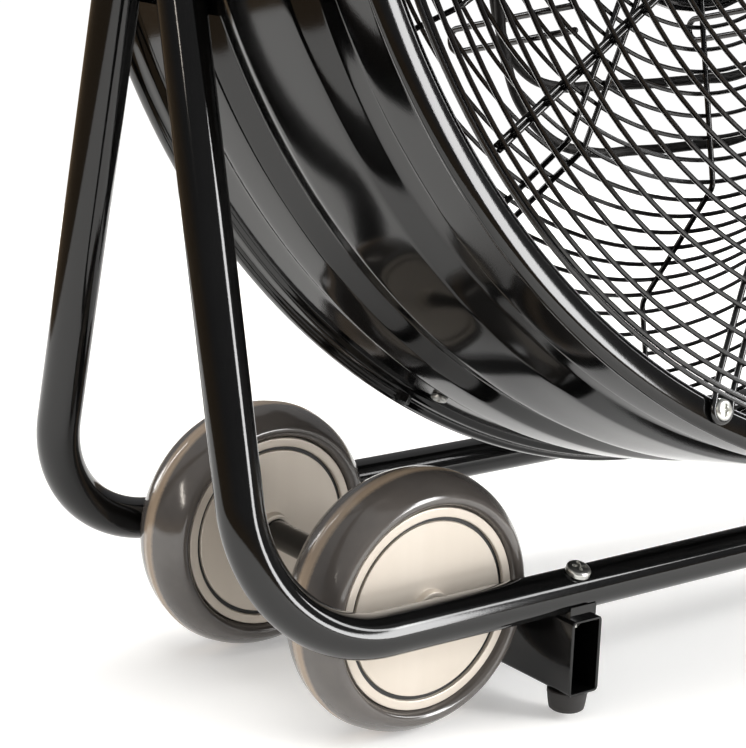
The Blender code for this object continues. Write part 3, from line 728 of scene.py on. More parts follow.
@dataclass
class FootBars:
    """Two open rectangular tubes across under the rails, with rubber feet and rail screws."""

    shop: Workshop
    places: tuple[float, float] = (-171.6, 240.0)
    treads: tuple[float, float] = (4.5, 0.0)
    screw_lean: float = 21.0
    half_x: float = 9.25
    end_y: float = 108.3
    top: float = 53.4
    bottom: float = 15.3
    wall: float = 1.6
    corner: float = 2.4
    foot_y: float = 97.0
    rail_y: float = 95.2
    rail_z: float = 64.2
    rail_r: float = 10.5

    def section(self, inset: float) -> Array:
        """A rounded rectangle, counter-clockwise, pulled in by the inset.

        Args:
            inset: How far inside the outer face.

        Returns:
            Points in width and height.
        """
        a = np.linspace(0.0, math.pi / 2, 7)
        r = max(self.corner - inset, 0.6)
        w = self.half_x - inset - r
        h = (self.top - self.bottom) / 2 - inset - r
        turns = []
        for k, (sx, sz) in enumerate(((1, 1), (-1, 1), (-1, -1), (1, -1))):
            b = a + k * math.pi / 2
            turns.append(np.stack([sx * w + r * np.cos(b), sz * h + r * np.sin(b)], axis=1))
        return np.concatenate(turns)

    def bar(self, x: float) -> Shell:
        """The outer and inner sections carried across, with eased rims at both ends.

        Args:
            x: Where along the rails.

        Returns:
            The open tube.
        """
        stops = [(0.0, self.end_y - 0.4), (0.35, self.end_y), (self.wall - 0.35, self.end_y)]
        stops.append((self.wall, self.end_y - 0.4))
        rows = [(inset, y) for inset, y in stops]
        rows += [(inset, -y) for inset, y in stops[::-1]]
        grid = []
        for inset, y in rows:
            flat = self.section(inset)
            grid.append(np.stack([flat[:, 0] + x, 0 * flat[:, 0] + y - BEHIND, flat[:, 1]], axis=1))
        middle = (self.top + self.bottom) / 2
        return grid_shell(np.stack(grid) + UP * middle, True, True)

    def foot(self, low: float) -> Shell:
        """A turned foot: a chamfered tread, a taper and a flange under the bar.

        Args:
            low: The height of its tread.

        Returns:
            The foot.
        """
        outline = [(0.01, low + 1.2), (5.5, low + 1.2), (6.2, low), (7.6, low), (8.5, low + 0.7)]
        outline += [(8.9, low + 2.4), (9.3, 9.6), (9.6, 12.4)]
        outline += [(9.8, 12.8), (9.8, 14.6), (9.4, 15.0), (0.01, 15.0)]
        return turned(np.array(outline), 48, closed=False)

    def saddle(self, x: float, side: Side) -> Shell:
        """A bent strap between rail and bar: two lips that hold the tube, half a sine wide.

        Args:
            x: Where along the rails.
            side: Under which rail.

        Returns:
            The strap.
        """
        u = np.linspace(-1.0, 1.0, 25)[:, None]
        v = np.array([-1.0, -0.94, 0.94, 1.0])[None, :]
        y = 9.6 * u + 0.0 * v
        lift = 10.9 - np.sqrt(np.maximum(10.9**2 - y**2, 0.0))
        lower = np.stack([8.0 * v + 0.0 * u, y, -0.1 + 0.0 * lift], axis=-1)
        upper = np.stack([8.0 * v + 0.0 * u, y, np.maximum(lift - 0.1, 0.12)], axis=-1)
        strip = np.concatenate([lower, upper[::-1]])
        place = np.array([x, side.value * self.rail_y - BEHIND, self.top])
        grid = strip.transpose(1, 0, 2) + place
        return grid_shell(grid, False, True, caps=True)

    def build(self) -> None:
        """Makes both bars and everything on them."""
        finishes = self.shop.finishes
        for hand, x, low in zip(("left", "right"), self.places, self.treads):
            self.shop.piece(
                f"{hand}_cross_bar", self.bar(x), finishes.enamel, "frame", [f"{hand}_foot_bar"]
            )
            for side in Side:
                word = f"{side.name.lower()}_{hand}"
                spot = np.array([x, side.value * self.foot_y - BEHIND, 0.0])
                foot = self.foot(low).moved(np.eye(3), spot)
                self.shop.piece(
                    f"{word}_rubber_foot", foot, finishes.rubber, "frame", [f"{word}_foot"]
                )
                self.shop.piece(f"{word}_saddle", self.saddle(x, side), finishes.enamel, "frame")
                lean = math.radians(self.screw_lean)
                axis = math.cos(lean) * UP - side.value * math.sin(lean) * FORWARD
                middle = np.array([x, side.value * self.rail_y - BEHIND, self.rail_z])
                turn = onto(axis, ACROSS + 0.5 * FORWARD)
                screw = PanScrew(6.1, 3.6, 3.6, 0.68, shank_r=3.0, shank=0.6).shell()
                screw = screw.moved(turn, middle + axis * (self.rail_r - 0.1))
                nut = hexagon(9.6, 5.0).moved(np.eye(3), middle * [1, 1, 0] + UP * 46.5)
                both = merged([screw, nut])
                self.shop.piece(
                    f"{word}_pan_screw", both, finishes.zinc, "frame", [f"{word}_rail_screw"]
                )


# ------------------------------------------------------------------ wheels


@dataclass
class Wheels:
    """Two solid tyres on flat champagne hubs, on one black axle tube between the rails."""

    shop: Workshop
    x: float = -245.0
    y: float = 64.1
    radius: float = 63.5
    crown: float = 25.0
    axle_r: float = 7.0

    def tyre(self) -> Shell:
        """A crowned tread, a parting rib round its middle and full, rolled sidewalls."""
        h = np.linspace(0.0, 17.2, 26)
        rib = 0.28 * np.clip((1.7 - h) / 0.5, 0.0, 1.0)
        tread = self.radius - self.crown + np.sqrt(self.crown**2 - h**2) - 0.28 + rib
        outer = np.stack([tread, h], axis=1)
        wall = [(55.4, 18.3), (54.0, 18.9), (52.6, 19.0), (51.2, 18.6), (50.2, 17.6)]
        wall += [(49.6, 16.2), (49.1, 15.2)]
        half = np.concatenate([outer, rounded(np.array(wall), 2)])
        other = half[::-1] * [1.0, -1.0]
        return turned(np.concatenate([half, other[:-1]]), 160)

    def hub(self) -> Shell:
        """Both faces alike: raised ring, deep square groove, a flat centre disc and a low boss."""
        half = [(7.2, 19.4), (7.6, 19.8), (9.2, 19.8), (9.6, 19.4), (9.8, 16.4), (10.4, 15.75)]
        half += [(41.5, 15.75), (42.1, 15.3), (42.3, 8.0), (43.9, 8.0), (44.0, 16.0), (44.4, 16.35)]
        half += [(48.2, 16.35), (48.6, 16.0), (48.7, 14.6)]
        face = rounded(np.array(half), 2, 0.2)
        return turned(np.concatenate([face, face[::-1] * [1.0, -1.0]]), 160)

    def groove(self) -> Shell:
        """A shallow black ring in the groove: painted shade for the dark gap between the pressed
        disc and the rim.
        """
        outline = np.array([[42.2, 12.0], [44.1, 12.0], [44.1, 14.4], [42.2, 14.4]])
        return turned(outline, 160)

    def build(self) -> None:
        """Makes the wheels and the axle."""
        finishes = self.shop.finishes
        along = onto(-FORWARD)
        for side in Side:
            word = side.name.lower()
            spot = np.array([self.x, side.value * self.y - BEHIND, self.radius])
            # Solid grey rubber: warm grey, half gloss, with a paler tan band round the tread's
            # middle.
            rubber = TyreFinish(
                f"{word}_grey_tyre",
                "4A4643",
                "57524E",
                0.09,
                0.1,
                0.0,
                1.1,
                0.02,
                "tyre_rubber",
                gloss=0.75,
                middle_mm=spot[1],
            )
            body = f"{word}_wheel"
            self.shop.piece(
                f"{word}_solid_tyre", self.tyre().moved(along, spot), rubber, body, [f"{word}_tyre"]
            )
            hub = self.hub().moved(along, spot)
            self.shop.piece(
                f"{word}_hub_disc", hub, finishes.hub, body, [f"{word}_wheel_hub"], sharp=30
            )
            # Painted shade: a black ring in each face's groove, where the gap falls dark.
            groove_shades = merged(
                [self.groove(), self.groove().moved(np.diag([-1.0, 1.0, -1.0]), np.zeros(3))]
            )
            self.shop.piece(f"{word}_hub_grooves", groove_shades.moved(along, spot), finishes.abs, body)
            line = np.array([[0.01, 18.4], [7.4, 18.4], [7.4, 19.4], [0.01, 19.4]])
            cap = turned(line, 48, closed=False).moved(onto(-side.value * FORWARD), spot)
            self.shop.piece(f"{word}_hub_cap", cap, finishes.hub, body)
        end = self.y + 16.1
        line = np.array([[0.01, -end], [self.axle_r, -end], [self.axle_r, end], [0.01, end]])
        rod = turned(line, 48, closed=False)
        middle = np.array([self.x, -BEHIND, self.radius])
        self.shop.piece("axle_rod", rod.moved(along, middle), finishes.enamel, "frame", ["axle"])


# ------------------------------------------------------------------ drum


@dataclass
class Drum:
    """The ribbed sheet-steel drum: curled mouth, stepped ribs and rolled rear band."""

    shop: Workshop
    wall: float = 1.2
    sides: int = 264
    curl: tuple = (
        (317.3, 96.4), (317.9, 98.6), (320.4, 100.1), (325.0, 100.3), (329.6, 99.9), (332.4, 98.2)
    )
    skin: tuple = (
        (332.6, 95.8), (331.4, 93.4), (330.1, 92.6), (330.0, 91.5), (330.0, 71.5), (329.7, 70.0),
        (328.4, 69.2), (326.8, 68.6), (326.4, 67.2), (326.5, 55.5), (327.0, 53.5), (330.2, 42.2),
        (330.7, 40.0), (330.6, -3.5), (330.3, -5.5), (326.5, -18.0), (326.1, -19.6),
        (326.5, -21.2), (330.2, -31.5), (330.6, -33.5), (330.6, -53.5), (330.2, -56.0),
        (326.9, -61.8), (326.5, -64.0), (326.5, -83.2), (326.9, -84.6), (329.6, -86.2),
        (330.1, -87.5), (330.1, -92.5), (330.8, -94.0), (332.4, -95.2), (332.7, -98.5),
        (332.2, -101.6), (330.0, -103.4), (327.4, -102.6),
    )

    def outline(self) -> Array:
        """The outside and, a wall thickness inside it, the inside, as one closed outline.

        Returns:
            Radius and forward distance.
        """
        outer = rounded(np.array(self.curl + self.skin), 2, 0.22)
        way = np.gradient(outer, axis=0)
        way /= np.linalg.norm(way, axis=1, keepdims=True)
        inward = np.stack([way[:, 1], -way[:, 0]], axis=1)
        return np.concatenate([outer, (outer + inward * self.wall)[::-1]])

    def build(self) -> None:
        """Makes the shell and dresses the pivot spacers and bolts."""
        finishes = self.shop.finishes
        shell = in_drum(facing_out(turned(self.outline(), self.sides)))
        self.shop.piece("ribbed_drum", shell, finishes.enamel, "drum", ["drum_shell"], sharp=50)
        for hand in Hand:
            word = hand.name.lower()
            self.shop.dress(finishes.zinc, f"{word}_pivot_spacer", f"{word}_pivot_bolt")


@dataclass
class Guards:
    """Front and rear wire guards: concentric rings on radial wires, some of them hairpins."""

    shop: Workshop
    front_d: float = 102.0
    ring_r: float = 1.2
    spoke_r: float = 1.55
    front_first: float = -118.0
    rear_first: float = -122.0
    step: float = 11.7
    ear_r: float = 321.7
    badge_r: float = 53.0

    def ring(self, radius: float, depth: float, wire: float, steps: int = 168) -> Shell:
        """A round wire carried round the drum's axis.

        Args:
            radius: The ring's own radius.
            depth: How far forward it lies.
            wire: The wire's radius.
            steps: Points round the ring.

        Returns:
            The ring.
        """
        t = full_turn(steps)[0]
        path = np.stack([radius * np.cos(t), 0 * t - depth, radius * np.sin(t)], axis=1)
        return carried(path, wire, 8, FORWARD, True)

    def wire(
        self, line: Array, degrees: float, offset: Callable[[Array], Array], thick: float
    ) -> Shell:
        """A bent wire in the plane of one radius, set over to one side.

        Args:
            line: Radius and forward distance along the wire.
            degrees: The radius's angle.
            offset: Sideways distance as a function of radius.
            thick: The wire's radius.

        Returns:
            The wire with rounded ends.
        """
        out = radial(degrees)
        aside = np.cross(out, FORWARD)
        path = line[:, :1] * out + line[:, 1:] * FORWARD + offset(line[:, 0])[:, None] * aside
        path, radii = round_ended(path, thick, 4)
        return carried(path, radii, 10, aside, False)

    def front_line(self, inner: float, outer: float) -> Array:
        """Behind the rings, then up over the curled mouth: a short ramp to the rim's face."""
        knots = np.array([[inner, self.front_d - 2.6], [309.0, self.front_d - 2.6]])
        if outer > 318.0:
            knots = np.concatenate([knots, [[318.5, self.front_d], [outer, self.front_d]]])
        else:
            knots = np.concatenate([knots, [[outer, self.front_d - 2.6]]])
        return rounded(knots, 3)

    def hairpin(self, degrees: float) -> Shell:
        """Two wires that run out side by side and close in a loop round the rim screw."""
        def spread(r: Array) -> Array:
            """Half the way between the two wires, which part as they run out."""
            return 2.4 + 3.0 * r / self.ear_r

        line = self.front_line(50.0, self.ear_r)
        out, aside = radial(degrees), np.cross(radial(degrees), FORWARD)
        way = line[:, :1] * out + line[:, 1:] * FORWARD
        over = spread(line[:, 0])[:, None] * aside
        a = np.linspace(0.0, math.pi, 19)[1:-1, None]
        reach = spread(line[-1:, 0])[0]
        turn = way[-1] + reach * (np.cos(a) * aside + np.sin(a) * out)
        path = np.concatenate([way + over, turn, (way - over)[::-1]])
        return carried(path, self.spoke_r, 10, FORWARD, False)

    def front(self) -> Shell:
        """Twin outer rings, then rings at an even pitch in to the pressed centre disc.

        Returns:
            The whole front guard.
        """
        rings = [(315.1, 1.25), (312.4, 1.25), (306.0, self.ring_r), (297.4, self.ring_r)]
        radius = 286.0
        while radius > self.badge_r + 6:
            rings.append((radius, self.ring_r))
            radius -= self.step
        shells = [self.ring(r, self.front_d, w) for r, w in rings]
        for k in range(12):
            degrees = self.front_first + 30.0 * k
            if k % 3 == 0:
                shells.append(self.hairpin(degrees))
                continue
            line = self.front_line(50.0, 307.6)
            lean = -0.5 if k % 3 == 2 else 0.0
            for sign in (-1.0, 1.0):
                shells.append(
                    self.wire(line, degrees + lean, lambda r, s=sign: 0 * r + 1.25 * s, 1.25)
                )
        return merged(shells)

    def badge(self) -> Shell:
        """A pressed centre disc with a rolled edge and one shallow ring, quite plain."""
        d = self.front_d
        outline = [
            (0.01, d + 1.7), (30.0, d + 1.5), (33.0, d + 0.7), (36.0, d + 0.7), (39.0, d + 1.2)
        ]
        outline += [
            (50.0, d + 0.4), (53.2, d - 0.8), (54.0, d - 2.6), (52.6, d - 2.8), (51.0, d - 1.4)
        ]
        outline += [(36.0, d - 0.6), (0.01, d + 0.2)]
        return facing_out(turned(rounded(np.array(outline), 2), 120, closed=False))

    def rear_line(self, inner: float, outer: float) -> Array:
        """The dish's own line with its two bends softened."""
        radii = np.array([inner, 181.0, 187.0, 192.0, 241.0, 247.0, 254.0, outer])
        depths = np.interp(radii, (0.0, 187.0, 247.0, 330.0), (-35.6, -35.6, -95.6, -95.6))
        return rounded(np.stack([radii, depths], axis=1), 2)

    def rear(self) -> Shell:
        """Rings behind the radial wires, an even pitch along the dish's line.

        Returns:
            The whole rear guard.
        """
        line = np.array([[91.6, -38.0], [187.0, -38.0], [247.0, -98.0], [318.0, -98.0]])
        run = np.concatenate([[0.0], np.cumsum(np.linalg.norm(np.diff(line, axis=0), axis=1))])
        stops = np.arange(0.0, run[-1], self.step - 0.1)
        radii = np.interp(stops, run, line[:, 0])
        depths = np.interp(stops, run, line[:, 1])
        shells = [self.ring(r, d, self.ring_r) for r, d in zip(radii, depths)]
        shells += [self.ring(320.6, -95.2, 1.5), self.ring(86.0, -38.0, 1.5)]
        for k in range(12):
            twin = k % 3 == 0
            line = self.rear_line(84.0, 322.0 if twin else 320.0)
            for aside in (-5.2, 5.2) if twin else (0.0,):
                degrees = self.rear_first + 30.0 * k
                shells.append(self.wire(line, degrees, lambda r, a=aside: 0 * r + a, self.spoke_r))
        return merged(shells)

    def lugs(self) -> Shell:
        """Bent tabs that take the rear guard's screws through the drum's band."""
        shells = []
        for quarter in range(4):
            out = radial(self.rear_first + 90.0 * quarter)
            aside = np.cross(out, FORWARD)
            u = np.linspace(-1.0, 1.0, 9)
            edge = np.array(
                [[323.1, 66.0], [323.1, 96.5], [317.0, 97.0], [317.0, 98.6], [324.0, 98.6]]
            )
            edge = np.concatenate([edge, [[324.4, 66.0]]])
            grid = edge[:, :1] * out - edge[:, 1:] * FORWARD + 6.0 * u[:, None, None] * aside
            shells.append(grid_shell(grid, False, True, caps=True))
        return merged(shells)

    def build(self) -> None:
        """Makes both guards and their screws."""
        finishes = self.shop.finishes
        self.shop.piece(
            "front_wire_guard", in_drum(self.front()), finishes.wire_enamel, "drum", ["front_guard"]
        )
        self.shop.piece("guard_centre_disc", in_drum(self.badge()), finishes.enamel, "drum")
        self.shop.piece(
            "rear_wire_guard", in_drum(self.rear()), finishes.wire_enamel, "drum", ["rear_guard"]
        )
        self.shop.piece("rear_guard_lugs", in_drum(self.lugs()), finishes.enamel, "drum")
        rim_screw = PanScrew(4.8, 3.2, 2.9, 0.56, washer_r=5.2, shank_r=2.2, shank=6.0).shell()
        band_screw = PanScrew(4.2, 2.5, 2.5, 0.52, shank_r=2.2, shank=5.0).shell()
        nuts = []
        for k in range(4):
            turn = onto(FORWARD, radial(self.front_first + 90.0 * k + 20.0))
            spot = radial(self.front_first + 90.0 * k) * self.ear_r + FORWARD * (self.front_d - 0.4)
            rim = in_drum(rim_screw.moved(turn, spot))
            name = f"front_guard_screw_{k + 1}"
            self.shop.piece(f"rim_screw_{k + 1}", rim, finishes.zinc, "drum", [name])
            out = radial(self.rear_first + 90.0 * k)
            turn = onto(out, FORWARD + 0.4 * np.cross(out, FORWARD))
            band = in_drum(band_screw.moved(turn, out * 326.7 - FORWARD * 72.0))
            name = f"rear_guard_screw_{k + 1}"
            self.shop.piece(f"band_screw_{k + 1}", band, finishes.zinc, "drum", [name])
            out = radial(self.rear_first - 1.4 + 90.0 * k)
            nuts.append(hexagon(7.0, 4.4).moved(onto(out), out * 329.6 - FORWARD * 90.0))
        self.shop.piece("rear_band_nuts", in_drum(merged(nuts)), finishes.wire_enamel, "drum")


# ------------------------------------------------------------------ motor, fan, switch


@dataclass
class Motor:
    """The finned motor behind the dish, its plate, its back cover and the shaft."""

    shop: Workshop
    fins: int = 36
    screw_r: float = 66.0
    bolt_r: float = 84.0

    def can(self) -> Shell:
        """Radius R - 3 + 3 cos(n t)^8 along the middle, fading to plain ends.

        Returns:
            The can.
        """
        t = full_turn(self.fins * 12)
        rows = [(9.0, -42.7, 0.0), (66.0, -42.7, 0.0), (70.0, -43.6, 0.0), (74.0, -48.0, 0.0)]
        rows += [(75.6, -52.0, 0.0), (75.6, -60.0, 0.0), (75.8, -62.0, 1.0), (75.8, -122.0, 1.0)]
        rows += [(75.6, -124.0, 0.0)]
        rows += [(75.6, -134.0, 0.0), (74.4, -138.4, 0.0), (72.6, -139.9, 0.0), (9.0, -139.9, 0.0)]
        r, h, ribbed = spread_rows(rows)
        fin = 4.0 * (1.0 - np.abs(np.cos(self.fins * t / 2.0)) ** 0.5)
        return facing_out(grid_shell(swept(r - ribbed * fin, h, t), True, True))

    def cover(self) -> Shell:
        """A shallow pressed cover with a stepped rim."""
        outline = [(0.01, -140.3), (72.4, -140.3), (73.0, -141.0), (72.6, -143.6), (69.0, -145.0)]
        outline += [(64.0, -145.4), (58.0, -149.6), (55.0, -150.3), (0.01, -150.3)]
        return facing_out(turned(rounded(np.array(outline), 2, 0.2), 128, closed=False))

    def build(self) -> None:
        """Makes the can and cover and dresses what is kept."""
        finishes = self.shop.finishes
        can, cover = in_drum(self.can()), in_drum(self.cover())
        self.shop.piece("finned_can", can, finishes.can, "drum", ["motor_housing"], sharp=35)
        self.shop.piece("pressed_cover", cover, finishes.can, "drum", ["motor_back_cover"])
        screw = PanScrew(3.6, 2.2, 2.2, 0.45, shank_r=1.6).shell()
        corners = [radial(45.0 + 90.0 * k) for k in range(4)]
        screws = [screw.moved(onto(-FORWARD), c * self.screw_r - FORWARD * 145.4) for c in corners]
        self.shop.piece("cover_screws", in_drum(merged(screws)), finishes.zinc, "drum")
        bolt = hexagon(8.0, 4.0)
        bolts = [bolt.moved(onto(FORWARD), c * self.bolt_r - FORWARD * 39.4) for c in corners]
        self.shop.piece("plate_bolts", in_drum(merged(bolts)), finishes.zinc, "drum")
        self.shop.dress(finishes.enamel, "motor_plate")
        self.shop.dress(finishes.steel, "motor_shaft", "fan_hub")


@dataclass
class Fan:
    """Three pressed blades riveted to a spider disc."""

    shop: Workshop
    middle_d: float = 15.0
    root: float = 50.0
    tip: float = 303.0
    first: float = 57.0

    def blade(self, degrees: float) -> Shell:
        """Chord R s w at a pitch that falls from 34 to 22 degrees, arched by 6% of the chord.

        Args:
            degrees: The blade's angle.

        Returns:
            A blade with rounded corners and a thickness of 1.6 mm.
        """
        t = np.linspace(0.0, 1.0, 60)[:, None]
        s = np.linspace(-0.5, 0.5, 41)[None, :]
        radius = self.root + (self.tip - self.root) * t
        trim = 1.0 - 0.22 * np.clip((t - 0.86) / 0.14, 0.0, 1.0) ** 2
        spread = np.radians(46.0 + 6.0 * np.sin(math.pi * t) - 6.0 * t) * trim
        pitch = np.radians(34.0 - 12.0 * t)
        a = math.radians(degrees) + s * spread
        chord = radius * spread * s
        arch = 0.06 * radius * spread * (0.25 - s * s)
        depth = self.middle_d + 0.9 * chord * np.tan(pitch) - arch
        skins = [
            np.stack([radius * np.cos(a), -(depth + lift), radius * np.sin(a)], axis=-1)
            for lift in (-0.8, 0.8)
        ]
        n, m = skins[0].shape[:2]
        under = n * m
        index = np.arange(under).reshape(n, m)
        edges = [index[:, 0], index[-1, 1:], index[-2::-1, -1], index[0, -2:0:-1]]
        ring = np.concatenate(edges)
        after = np.roll(ring, -1)
        side = np.stack([ring, after, after + under, ring + under], axis=1)
        cell = [index[:-1, :-1], index[1:, :-1], index[1:, 1:], index[:-1, 1:]]
        face = np.stack([c.ravel() for c in cell], axis=1)
        points = np.concatenate([skin.reshape(-1, 3) for skin in skins])
        quads = np.concatenate([face, face[:, ::-1] + under, side[:, ::-1]])
        return Shell(points, quads).outward()

    def build(self) -> None:
        """Makes the blades and the disc as one piece, and the rivets as another."""
        finishes = self.shop.finishes
        d = self.middle_d
        outline = np.array([[13.2, d - 2], [64.0, d - 2], [66.0, d], [64.0, d + 2], [13.2, d + 2]])
        shells = [facing_out(turned(outline, 96))]
        shells += [self.blade(self.first + 120.0 * k) for k in range(3)]
        self.shop.piece(
            "pressed_blades", in_drum(merged(shells)), finishes.sheet, "rotor", ["fan_blades"]
        )
        rivets = []
        for k in range(9):
            spot = radial(self.first + 120.0 * (k // 3) + 12.0 * (k % 3 - 1)) * 58.0 + FORWARD * (
                d + 1.8
            )
            dome = [(0.01, 1.8), (1.8, 1.5), (3.2, 0.4), (3.2, -0.2), (0.01, -0.2)]
            rivets.append(turned(np.array(dome), 20, closed=False).moved(onto(FORWARD), spot))
        self.shop.piece("spider_rivets", in_drum(merged(rivets)), finishes.steel, "rotor")


@dataclass
class Switch:
    """The switch box on the motor's back, its pointer knob and the lead's gland."""

    shop: Workshop
    half_x: float = 36.0
    half_v: float = 30.0
    front_d: float = -150.6
    back_d: float = -186.0

    def box(self) -> Shell:
        """A superellipse section, shrunk towards the back face with a rounded edge.

        Returns:
            The box.
        """
        t = full_turn(120)
        c, s = np.cos(t), np.sin(t)
        power = 2.0 / 9.0
        x = np.sign(c) * np.abs(c) ** power
        v = np.sign(s) * np.abs(s) ** power
        rows = [(0.02, 0.0), (0.99, 0.0), (1.0, 0.6), (1.0, 9.0), (0.985, 9.3), (0.985, 10.0)]
        rows += [(1.0, 10.3), (0.995, 31.0), (0.97, 34.2), (0.93, 35.2), (0.9, 35.4), (0.02, 35.4)]
        grow, back = spread_rows(rows)
        across, up = self.half_x * grow * x, self.half_v * grow * v
        grid = np.stack([across, back - self.front_d + 0.0 * t, up], axis=-1)
        return grid_shell(grid, False, True, caps=True)

    def knob(self) -> Shell:
        """A fluted skirt with a raised bar across it: radius 14.6 + 0.5 cos 24 t.

        Returns:
            The knob.
        """
        t = full_turn(192)
        rows = [(0.02, 0.3, 0), (16.6, 0.3, 0), (17.0, 0.8, 0), (17.0, 2.6, 0), (16.4, 3.4, 0)]
        rows += [
            (14.6, 4.0, 1), (13.6, 13.0, 1), (12.6, 14.6, 0.6), (11.0, 15.2, 0), (0.02, 15.4, 0)
        ]
        r, h, fluted = spread_rows(rows)
        body = grid_shell(swept(r + 0.5 * fluted * np.cos(24.0 * t), h, t), False, True, caps=True)
        a = full_turn(40)
        w, z = spread_rows([(0.05, 14.8), (1.0, 14.8), (1.0, 16.6), (0.9, 17.1), (0.05, 17.2)])
        long, wide = np.cos(a), np.sin(a)
        grid = np.stack([2.2 * w * wide, 10.4 * w * long, z + 0 * a], axis=-1)
        both = merged([body, grid_shell(grid, False, True, caps=True)])
        return both.moved(onto(-FORWARD, ACROSS), -FORWARD * -self.back_d)

    def marks(self) -> Shell:
        """Four small raised dots round the knob, growing with the speed.

        Returns:
            The dots.
        """
        shells = []
        for k, size in enumerate((0.9, 1.2, 1.6, 2.0)):
            a = math.radians(90.0 + 60.0 * k)
            spot = np.array([22.5 * math.cos(a), -self.back_d - 0.1, 22.5 * math.sin(a)])
            dome = [(0.01, 0.6), (size * 0.7, 0.5), (size, 0.1), (size, -0.2), (0.01, -0.2)]
            shells.append(turned(np.array(dome), 20, closed=False).moved(onto(-FORWARD), spot))
        return merged(shells)

    def gland(self) -> Shell:
        """A nut and a ribbed, tapering relief round the lead."""
        outline = [(3.05, 0.2), (9.0, 0.2), (9.0, 4.6), (8.4, 5.2), (6.6, 5.4)]
        for k in range(5):
            x = 6.2 + 1.8 * k
            outline += [(6.4 - 0.35 * k, x), (6.4 - 0.35 * k, x + 0.9), (5.5 - 0.35 * k, x + 1.1)]
        outline += [(4.2, 15.2), (3.05, 15.3)]
        turn = onto(-ACROSS)
        middle = -(self.front_d + self.back_d) / 2
        return turned(np.array(outline), 48).moved(turn, np.array([-self.half_x, middle, 0.0]))

    def build(self) -> None:
        """Makes the box, knob, dots, gland and lid screws."""
        finishes = self.shop.finishes
        self.shop.piece(
            "moulded_switch_box", in_drum(self.box()), finishes.abs, "drum", ["switch_box"]
        )
        self.shop.piece(
            "pointer_knob", in_drum(self.knob()), finishes.abs, "speed_knob", ["speed_knob"]
        )
        self.shop.piece("speed_dots", in_drum(self.marks()), finishes.zinc, "drum")
        self.shop.piece("ribbed_gland", in_drum(self.gland()), finishes.abs, "drum", ["cord_gland"])
        screws = []
        screw = PanScrew(2.6, 1.4, 1.7, 0.36, shank_r=1.2).shell()
        for sx in (-1, 1):
            for sv in (-1, 1):
                spot = np.array([28.0 * sx, 185.6, 22.5 * sv])
                screws.append(screw.moved(onto(-FORWARD), spot))
        self.shop.piece("lid_screws", in_drum(merged(screws)), finishes.zinc, "drum")


@dataclass
class TiltKnobs:
    """Six-lobed clamping knobs, each with a plain cap in its middle; the zinc washer and threaded
    insert are not drawn.
    """

    shop: Workshop
    seat: float = 338.6

    def lobed(self) -> Shell:
        """Radius 23 + 3 cos 6t, eased at both faces, on a turned neck.

        Returns:
            The knob, its seat at height nought.
        """
        t = full_turn(180)
        rows = [
            (5.6, 0.1, 0.0), (12.4, 0.1, 0.0), (13.0, 0.8, 0.0), (13.2, 5.0, 0.0), (15.0, 6.2, 0.2)
        ]
        rows += [(20.6, 6.4, 0.8), (22.4, 7.2, 0.95), (23.0, 9.0, 1.0), (23.0, 20.5, 1.0)]
        rows += [(22.2, 22.6, 0.95), (20.4, 23.6, 0.8), (14.0, 24.0, 0.2), (9.0, 24.0, 0.0)]
        rows += [(8.2, 22.8, 0.0), (7.6, 16.4, 0.0), (5.6, 16.2, 0.0)]
        r, h, lobed = spread_rows(rows)
        return grid_shell(swept(r + 3.0 * lobed * np.cos(6.0 * t), h, t), True, True)

    def build(self) -> None:
        """Makes both knobs and the plain caps in their middles."""
        finishes = self.shop.finishes
        for hand in Hand:
            word = hand.name.lower()
            turn = onto(ACROSS * hand.value, UP)
            spot = PIVOT + ACROSS * hand.value * self.seat
            name = f"{word}_tilt_knob"
            body = f"{word}_knob"
            self.shop.piece(
                f"{word}_lobed_knob", self.lobed().moved(turn, spot), finishes.abs, body, [name]
            )
            cap = [(0.01, 23.9), (4.0, 23.6), (7.6, 22.4), (7.6, 17.0), (0.01, 17.0)]
            cap_shell = turned(np.array(cap), 48, closed=False).moved(turn, spot)
            self.shop.piece(f"{word}_knob_cap", cap_shell, finishes.abs, body)


# ------------------------------------------------------------------ lead


